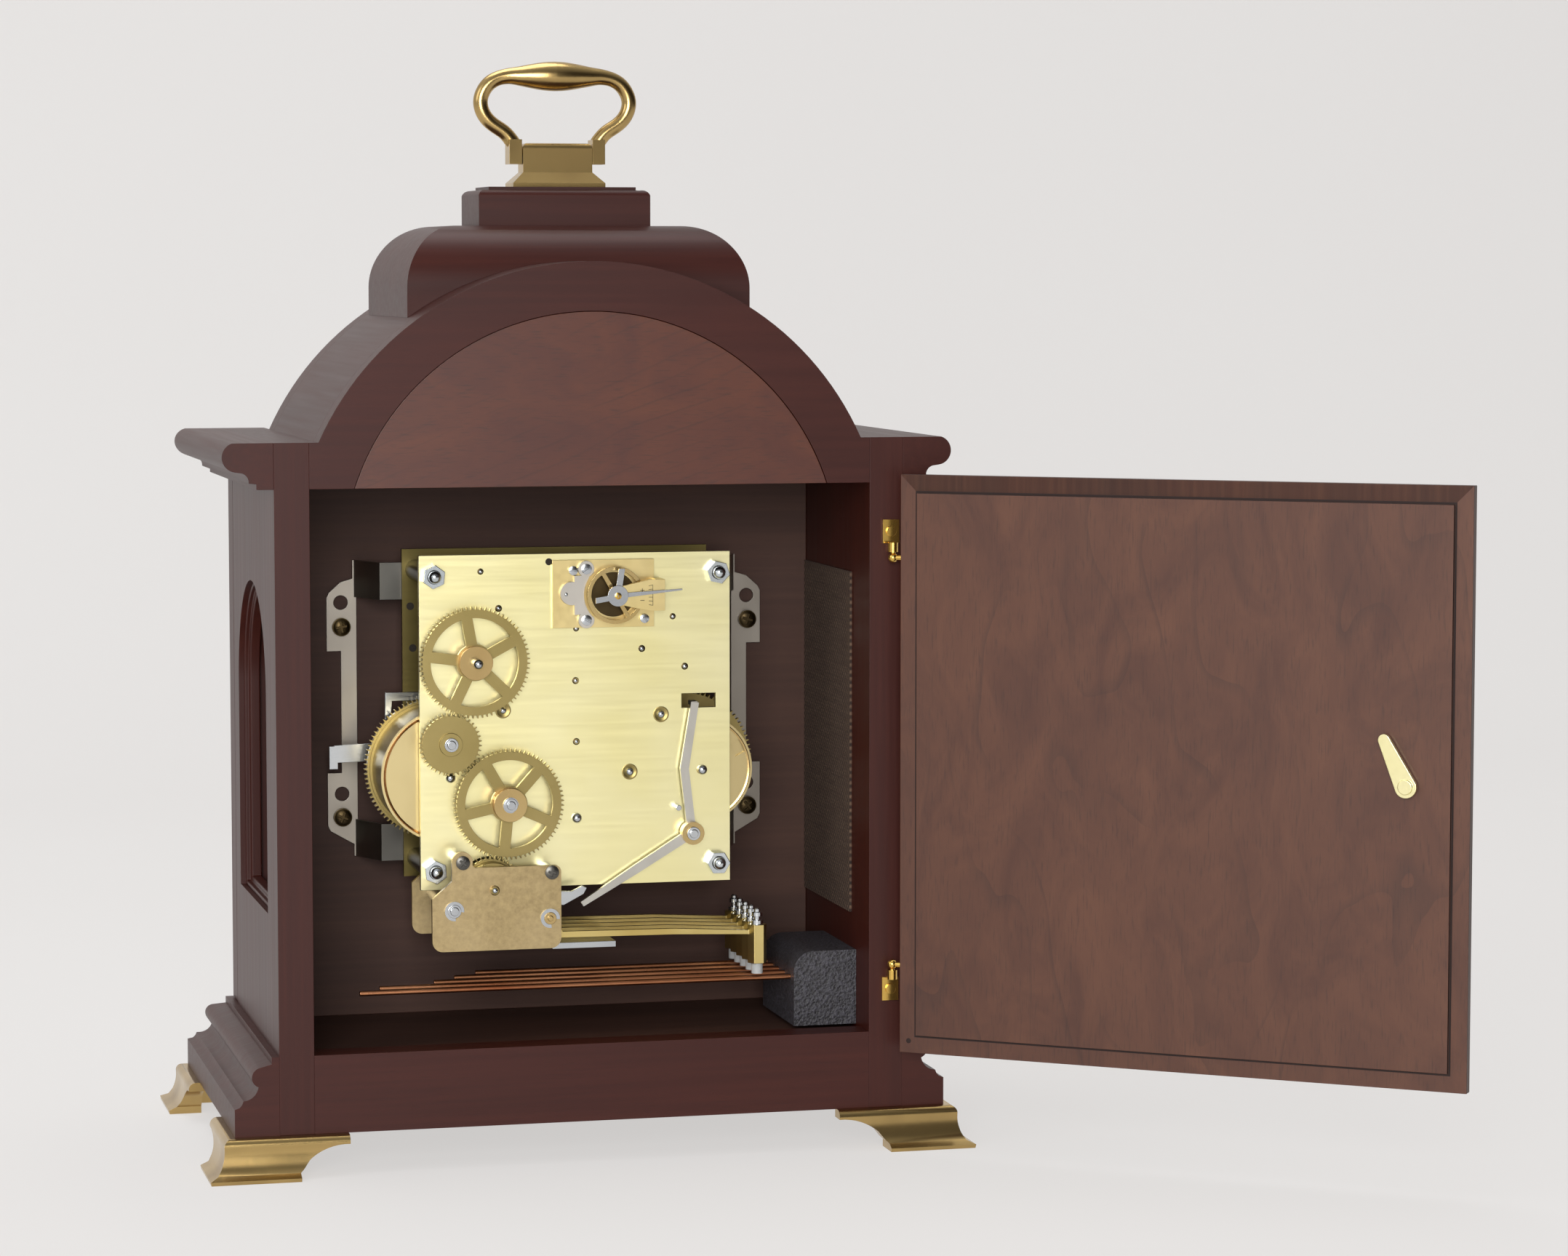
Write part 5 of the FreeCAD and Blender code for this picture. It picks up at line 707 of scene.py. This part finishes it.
def along_y(first, last):
    """A test for faces between two places along Y."""
    return lambda low, high, normal: (low[:, 1] > first) & (high[:, 1] < last)


def within(x_range, z_range):
    """A test for faces inside a range of X and of Z."""
    return lambda low, high, normal: ((low[:, 0] > x_range[0]) & (high[:, 0] < x_range[1])
                                      & (low[:, 2] > z_range[0]) & (high[:, 2] < z_range[1]))


for node, axis in (("chime_wheel_upper", upper_wheel), ("chime_wheel_lower", lower_wheel)):
    paint(pieces[node], "hub", near_axis(axis, 0, hub_edge))
    paint(pieces[node], "hub_side", every(near_axis(axis, hub_wall, hub_edge), around_y))
    paint(pieces[node], "steel", near_axis(axis, 0, hub_pin))
for node, axis in (("chime_barrel", chime_barrel), ("strike_barrel", strike_barrel)):
    paint(pieces[node], "cap", every(near_axis(axis, 0, cap_edge), along_y(30, 45)))
for node, look, chosen in (
        # The brackets' inner flanges take the dark steel: painted shade.
        ("movement_brackets", "pillar", within((-flange_x, flange_x), (90.0, 240.0))),
        ("platform_bridges", "bridge", within(*train_bridge)),
        ("selector_lever", "hub", near_axis(selector, 0, boss_edge)),
        ("movement_studs", "hub", every(near_axis(studs[1], 0, stud_edge), along_y(56.0, 70.0))),
        ("movement_screws", "bronze", along_y(-20.0, -15.0)),
        ("movement_screws", "pillar", along_y(56.0, 60.0)),
        ("plate_pillars", "nut", along_y(42.0, 60.0))):
    paint(pieces[node], look, chosen)
for name in hammer_names:
    paint(pieces[name], "steel", within(head_x, head_screw))
    paint(pieces[name], "nylon", within(head_x, head_tip))

# ---- the movement's small pieces ----
sunk = rear_y - 0.1                 # what lies on the rear plate starts a little under its face


def disc(r, low, rise):
    """The profile of a flat round."""
    return [(0, low), (r, low), (r, low + rise), (0, low + rise)]


def sink(r):
    """The profile of the shallow oil sink round a pivot of radius r: a thin disc, a little raised, painted
    dark as painted shade of the sink.
    """
    rise = rear_y + 0.16
    return [(0, sunk), (1.5 * r, sunk), (1.5 * r, rear_y + 0.04), (1.1 * r, rise), (0, rise)]


# Ends of the arbors that show in the rear plate, as X, Z and radius; three have a burnished ring.
plain_pivots = ((36.9, 222.3, 0.8), (30.0, 208.1, 0.9), (-0.1, 199.9, 0.8), (0.2, 179.8, 0.9),
                (0.0, 156.3, 0.9), (-25.8, 191.6, 0.9), (-38.0, 203.8, 0.8), (-42.7, 184.4, 0.9))
ringed_pivots = ((-33.3, 166.0, 1.4), (-20.9, 144.1, 1.5), (28.5, 169.0, 1.3))
burnished = [(0, sunk), (3.1, sunk), (3.1, rear_y + 0.06), (2.9, rear_y + 0.14), (2.5, rear_y + 0.14),
             (2.3, rear_y + 0.03), (0, rear_y + 0.03)]
# Dark browned discs round the plain pivots: painted shade in the oil sinks.
solid("plate_pivot_sink_shadows", [turned(x, z, sink(r)) for x, z, r in plain_pivots],
      "case", "bronze")
solid("plate_pivot_ends", [turned(x, z, domed(r, rear_y, rear_y + 0.9 * r, 0.7 * r))
                           for x, z, r in plain_pivots + ringed_pivots], "case", "steel")
solid("plate_pivot_rings", [turned(x, z, burnished) for x, z, r in ringed_pivots],
      "case", "wheel")
# A thin dark disc on the rear plate where a spare hole is: painted shadow.
solid("plate_spare_hole_shadows", [turned(10.4, 225.6, disc(1.35, sunk, 0.12))], "case", "recess")
barrel_ends = ((-49.5, 144.1), (49.0, 143.7), (0.0, 126.8))
solid("barrel_arbor_ends", [turned(x, z, domed(1.9, rear_y, rear_y + 2.2, 1.6)) for x, z in barrel_ends],
      "case", "steel")

# The ball on the end of the upper wheel's arbor: its radius and its middle along Y.
ball, ball_y = 1.9, 56.2
ball_profile = ([(0, 53.0), (1.5, 53.0), (1.5, 55.0)]
                + [(ball * math.cos(t), ball_y + ball * math.sin(t)) for t in np.linspace(-0.6, 1.4, 9)]
                + [(0, ball_y + ball)])
solid("upper_wheel_ball", [turned(*upper_wheel, ball_profile)], "chime_upper", "steel")

# Screws with a driven cross or slot: X and Z, and for the cover's and the platform's also its turn.
bracket_screws = [(x, z) for x in (-81.7, 81.7) for z in (197.3, 122.3)]
solid("bracket_screw_heads", [driven_head(x, z, 3.6, -15.5, -14.7, 0.9, "cross", 18 + 31 * i, 0.8)
                              for i, (x, z) in enumerate(bracket_screws)], "case", "bronze")
cover_screws = ((47.0, 112.9, 40), (12.7, 108.2, 15))
solid("cover_screw_heads", [driven_head(x, z, 2.65, 58.4, 59.1, 0.5, "cross", turn, 0.55)
                            for x, z, turn in cover_screws], "case", "pillar")
# Each of the platform's screws also has its radius, foot and top.
slotted = ((1.4, 222.2, 1.75, 45.1, 45.7, 4), (-26.4, 203.4, 1.75, 45.1, 45.7, 52),
           (-3.5, 222.8, 2.0, 46.0, 46.9, 150), (-3.5, 203.2, 2.0, 46.0, 46.9, 25))
solid("platform_screw_heads", [driven_head(x, z, r, foot, top, 0.2, "slot", turn, 0.35, 14, 48)
                               for x, z, r, foot, top, turn in slotted], "case", "steel")
solid("regulator_screw", [driven_head(*balance, 1.3, 53.0, 53.6, 0.15, "slot", 70, 0.3, 14, 48)],
      "case", "polished")
solid("train_bridge_pivot", [turned(4.4, 213.2, domed(0.7, 46.0, 46.5, 0.4))], "case", "steel")

# Scale on the balance cock: a comb of short lines that fan out a little, and the two signs beside it.
# Each line has its ends as X and the height over the balance, its width and its rise over the cock.
cock_top, spine_x, tick, pitch, fan = 51.9, -28.2, 1.6, 1.44, 0.12
sign_x, sign_half, sign_z = -24.1, 0.8, 1.9
lines = [(spine_x + tick, row * pitch, spine_x, row * (pitch + fan), 0.18, 0.03)
         for row in np.arange(6) - 2.5]
lines.append((spine_x, -3.9, spine_x, 3.9, 0.16, 0.03))
lines.append((sign_x, sign_z - sign_half, sign_x, sign_z + sign_half, 0.2, 0.035))
lines += [(sign_x + sign_half, z, sign_x - sign_half, z, 0.2, 0.03) for z in (sign_z, -sign_z)]
solid("cock_scale", [strip(x0, balance[1] + z0, x1, balance[1] + z1, width, cock_top - 0.05, cock_top + rise)
                     for x0, z0, x1, z1, width, rise in lines], "case", "ink", smooth=False)

# Spring clips on two studs and on the lower wheel's arbor, each open towards -X and -Z.
solid("cover_clips", [open_ring(x, z, 2.4, 3.7, cover_y + 0.02, cover_y + 0.7, 262, 285) for x, z in studs],
      "case", "steel")
solid("wheel_clips", [open_ring(*lower_wheel, 1.9, 3.0, 52.05, 52.6, 250, 290)], "case", "steel")
drum_bush = [(0, cover_y), (1.9, cover_y), (1.9, cover_y + 0.5), (1.5, cover_y + 0.8), (0, cover_y + 0.8)]
solid("drum_pivot", [turned(*drum, drum_bush)], "case", "hub")
solid("drum_pivot_end", [turned(*drum, domed(1.15, cover_y + 0.7, cover_y + 2.2, 1.0))],
      "case", "steel")

# Nut and screw on top of each hammer's head, turned about an upright axis.
first_head_y, head_pitch, nut_x, nut_foot = 53.1, 9.5, -68.8, 86.3
nut_profile = [(0, -0.1), (1.2, -0.1), (1.2, 1.4), (2.0, 1.6), (2.0, 3.0), (1.2, 3.3), (1.2, 4.2),
               (0.8, 4.6), (0, 4.7)]
for number, name in enumerate(hammer_names):
    points, rows = turned(0, 0, nut_profile, 24)
    upright = [(nut_x + a, first_head_y - head_pitch * number + c, nut_foot + b) for a, b, c in points]
    solid(name + "_nut", [(upright, rows)], name, "steel")


def barrel_face(node):
    """The Y of a barrel's cap: its outermost face along +Y that is larger than 400 square millimetres."""
    faces = pieces[node].data.polygons
    return max(face.center.y / MM for face in faces if face.normal.y > 0.9 and face.area > 400 * MM ** 2)


def cap_rim(axis, radius, y, sides=96):
    """A thin raised ring on a cap's edge."""
    inner = radius - 0.9
    ring = [(inner, y), (radius, y), (radius, y + 0.35), (radius - 0.3, y + 0.5), (inner, y + 0.3)]
    points, rows = [], []
    for r, height in ring:
        points += [(axis[0] + r * math.cos(t), height, axis[1] + r * math.sin(t))
                   for t in np.arange(sides) * 2 * math.pi / sides]
    for i in range(len(ring)):
        for j in range(sides):
            k, n = (j + 1) % sides, (i + 1) % len(ring)
            rows.append((i * sides + j, n * sides + j, n * sides + k, i * sides + k))
    return points, rows


for name, node, axis, radius, look in (
        ("chime_cap_rim", "chime_barrel", chime_barrel, 24.9, "hub_side"),
        ("strike_cap_rim", "strike_barrel", strike_barrel, 20.2, "hub")):
    solid(name, [cap_rim(axis, radius, barrel_face(node))], node, look)
# Thin dark discs on the front plate at its holes: painted shadow.
front_holes = ((57.4, 206.4), (56.5, 190.1), (57.8, 140.2))
solid("front_plate_hole_shadows", [turned(x, z, disc(1.5, 2.0, 0.14)) for x, z in front_holes],
      "case", "recess")
# A thin dark disc under the balance: painted shade of the escapement's well.
solid("escapement_well_shadow", [turned(*balance, disc(8.6, 44.0, 0.14), 48)], "case", "bronze")

# ---- the sound cloths ----
cloth_x, cloth_half, wave_height = 106.4, 0.5, 0.16


def sound_cloth(name, x, look_side):
    """One window's cloth: a sheet 1 mm thick with height a sin(pi y / p) sin(pi z / p) of plain weave on
    the side that faces into the case."""
    low, high = corners("window_cloths")
    cell, last_cell = weave_pitch / 3, 0.2
    ys = np.arange(low[1], high[1] - last_cell, cell)
    zs = np.arange(low[2], high[2] - last_cell, cell)
    ys[-1], zs[-1] = high[1], high[2]
    grid_y, grid_z = np.meshgrid(ys, zs)
    wave = wave_height * np.sin(np.pi * grid_y / weave_pitch) * np.sin(np.pi * grid_z / weave_pitch)
    woven = x + look_side * (cloth_half - wave_height + wave)
    front = np.stack([woven, grid_y, grid_z], axis=-1).reshape(-1, 3)
    at = np.arange(grid_y.size).reshape(grid_y.shape)
    faces = np.stack([at[:-1, :-1], at[:-1, 1:], at[1:, 1:], at[1:, :-1]], axis=-1).reshape(-1, 4).tolist()
    rim = np.concatenate([at[0, :], at[1:, -1], at[-1, -2::-1], at[-2:0:-1, 0]]).tolist()
    back = front[rim].copy()
    back[:, 0] = x - look_side * cloth_half
    start, count = len(front), len(rim)
    faces += [[rim[i], rim[(i + 1) % count], start + (i + 1) % count, start + i] for i in range(count)]
    faces.append([start + i for i in range(count)][::-1])
    piece = solid(name, [(np.vstack([front, back]), faces)], "case", "cloth")
    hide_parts("window_cloths")


sound_cloth("window_cloth_left", cloth_x, -1)
sound_cloth("window_cloth_right", -cloth_x, 1)


# ---- studio ----
def lit_paper(tree):
    """Matt white paper. It glows evenly where it is seen directly, mirrored or through glass, so that it
    shows no falloff, and it takes light as paper everywhere else."""
    place = add(tree, "TexCoord").outputs["Object"]
    tone = add(tree, "TexNoise", {"Vector": place, "Scale": 1.2})
    colour = blend_colour(tree, tone.outputs["Fac"], linear("#e6e3e1"), linear("#eae8e6"))
    paper = add(tree, "BsdfDiffuse", {"Color": colour})
    glow = add(tree, "Emission", {"Color": colour, "Strength": 1.0})
    path = add(tree, "LightPath")
    seen = path.outputs["Is Camera Ray"]
    for ray in ("Is Glossy Ray", "Is Transmission Ray"):
        seen = add(tree, "Math", {0: seen, 1: path.outputs[ray]}, operation="MAXIMUM").outputs[0]
    share = add(tree, "Math", {0: seen, 1: 0.74}, operation="MULTIPLY")
    return add(tree, "MixShader", {0: share.outputs[0], 1: paper.outputs[0], 2: glow.outputs[0]})


def paper_sweep():
    """A pale seamless sweep, in metres: it runs over the floor towards -Y and curls up into the wall."""
    half_width, floor_end, bend_start, bend, wall_top = 5.72, 6.0, -1.1, 0.9, 4.5
    run = [(floor_end, 0.0)]
    run += [(bend_start - bend * math.sin(t), bend - bend * math.cos(t))
            for t in np.linspace(0, math.pi / 2, 24)]
    run.append((bend_start - bend, wall_top))
    points = [(x, y, z) for y, z in run for x in (-half_width, half_width)]
    faces = [(2 * i, 2 * i + 1, 2 * i + 3, 2 * i + 2) for i in range(len(run) - 1)]
    mesh = bpy.data.meshes.new("sweep")
    mesh.from_pydata(points, [], faces)
    mesh.materials.append(material("paper_sweep", lit_paper))
    mesh.polygons.foreach_set("use_smooth", [True] * len(faces))
    link_new("sweep", mesh)


def room_light():
    """Light from the room: bright above and on the left, and dark behind the camera below its height."""
    world = bpy.data.worlds.new("studio_air")
    scene.world = world
    world.use_nodes = True
    tree = world.node_tree
    tree.nodes.clear()
    way = add(tree, "TexCoord").outputs["Generated"]
    toward = add(tree, "VectorMath", {0: way, 1: (0.50, -0.60, 0.62)}, operation="DOT_PRODUCT")
    share = add(tree, "MapRange", {"Value": toward.outputs["Value"], "From Min": -0.40, "From Max": 0.60})
    tint = blend_colour(tree, share.outputs[0], linear("#352f2e"), linear("#f2f3f6"))
    air = add(tree, "Background", {"Color": tint, "Strength": 0.75})
    tree.links.new(air.outputs[0], add(tree, "OutputWorld").inputs[0])


def lamps():
    """A wide soft lamp behind the camera, a fill from the left and one from above, in metres and watts."""
    for name, place, size, power, aim in (
            ("lamp_behind_camera", (0.75, 2.7, 0.75), 1.3, 62.0, (0.0, 0.0, 0.2)),
            ("lamp_left", (2.4, 0.9, 1.3), 1.4, 12.0, (0.0, 0.0, 0.2)),
            ("lamp_top", (0.2, -0.4, 2.4), 1.5, 22.0, (0.0, 0.0, 0.1))):
        light = bpy.data.lights.new(name, "AREA")
        light.size = size
        light.energy = power
        lamp = link_new(name, light)
        lamp.location = place
        lamp.rotation_euler = (Vector(aim) - Vector(place)).to_track_quat("-Z", "Y").to_euler()


def photo_camera():
    """The camera that was worked out from the case's edges in the photograph."""
    data = bpy.data.cameras.new("photo_camera")
    data.sensor_width = 36.0
    data.lens = 100.84
    data.clip_start = 0.05
    camera = link_new("photo_camera", data)
    place = Vector((330.35, 1687.91, 338.57)) * MM
    right = Vector((-0.96997, 0.24321, 0.0))
    up = Vector((-0.02003, -0.07990, 0.99659))
    turn = Matrix((right, up, right.cross(up))).transposed()
    camera.matrix_world = Matrix.Translation(place) @ turn.to_4x4()
    scene.camera = camera


paper_sweep()
room_light()
lamps()
photo_camera()
scene.view_settings.view_transform = "Standard"
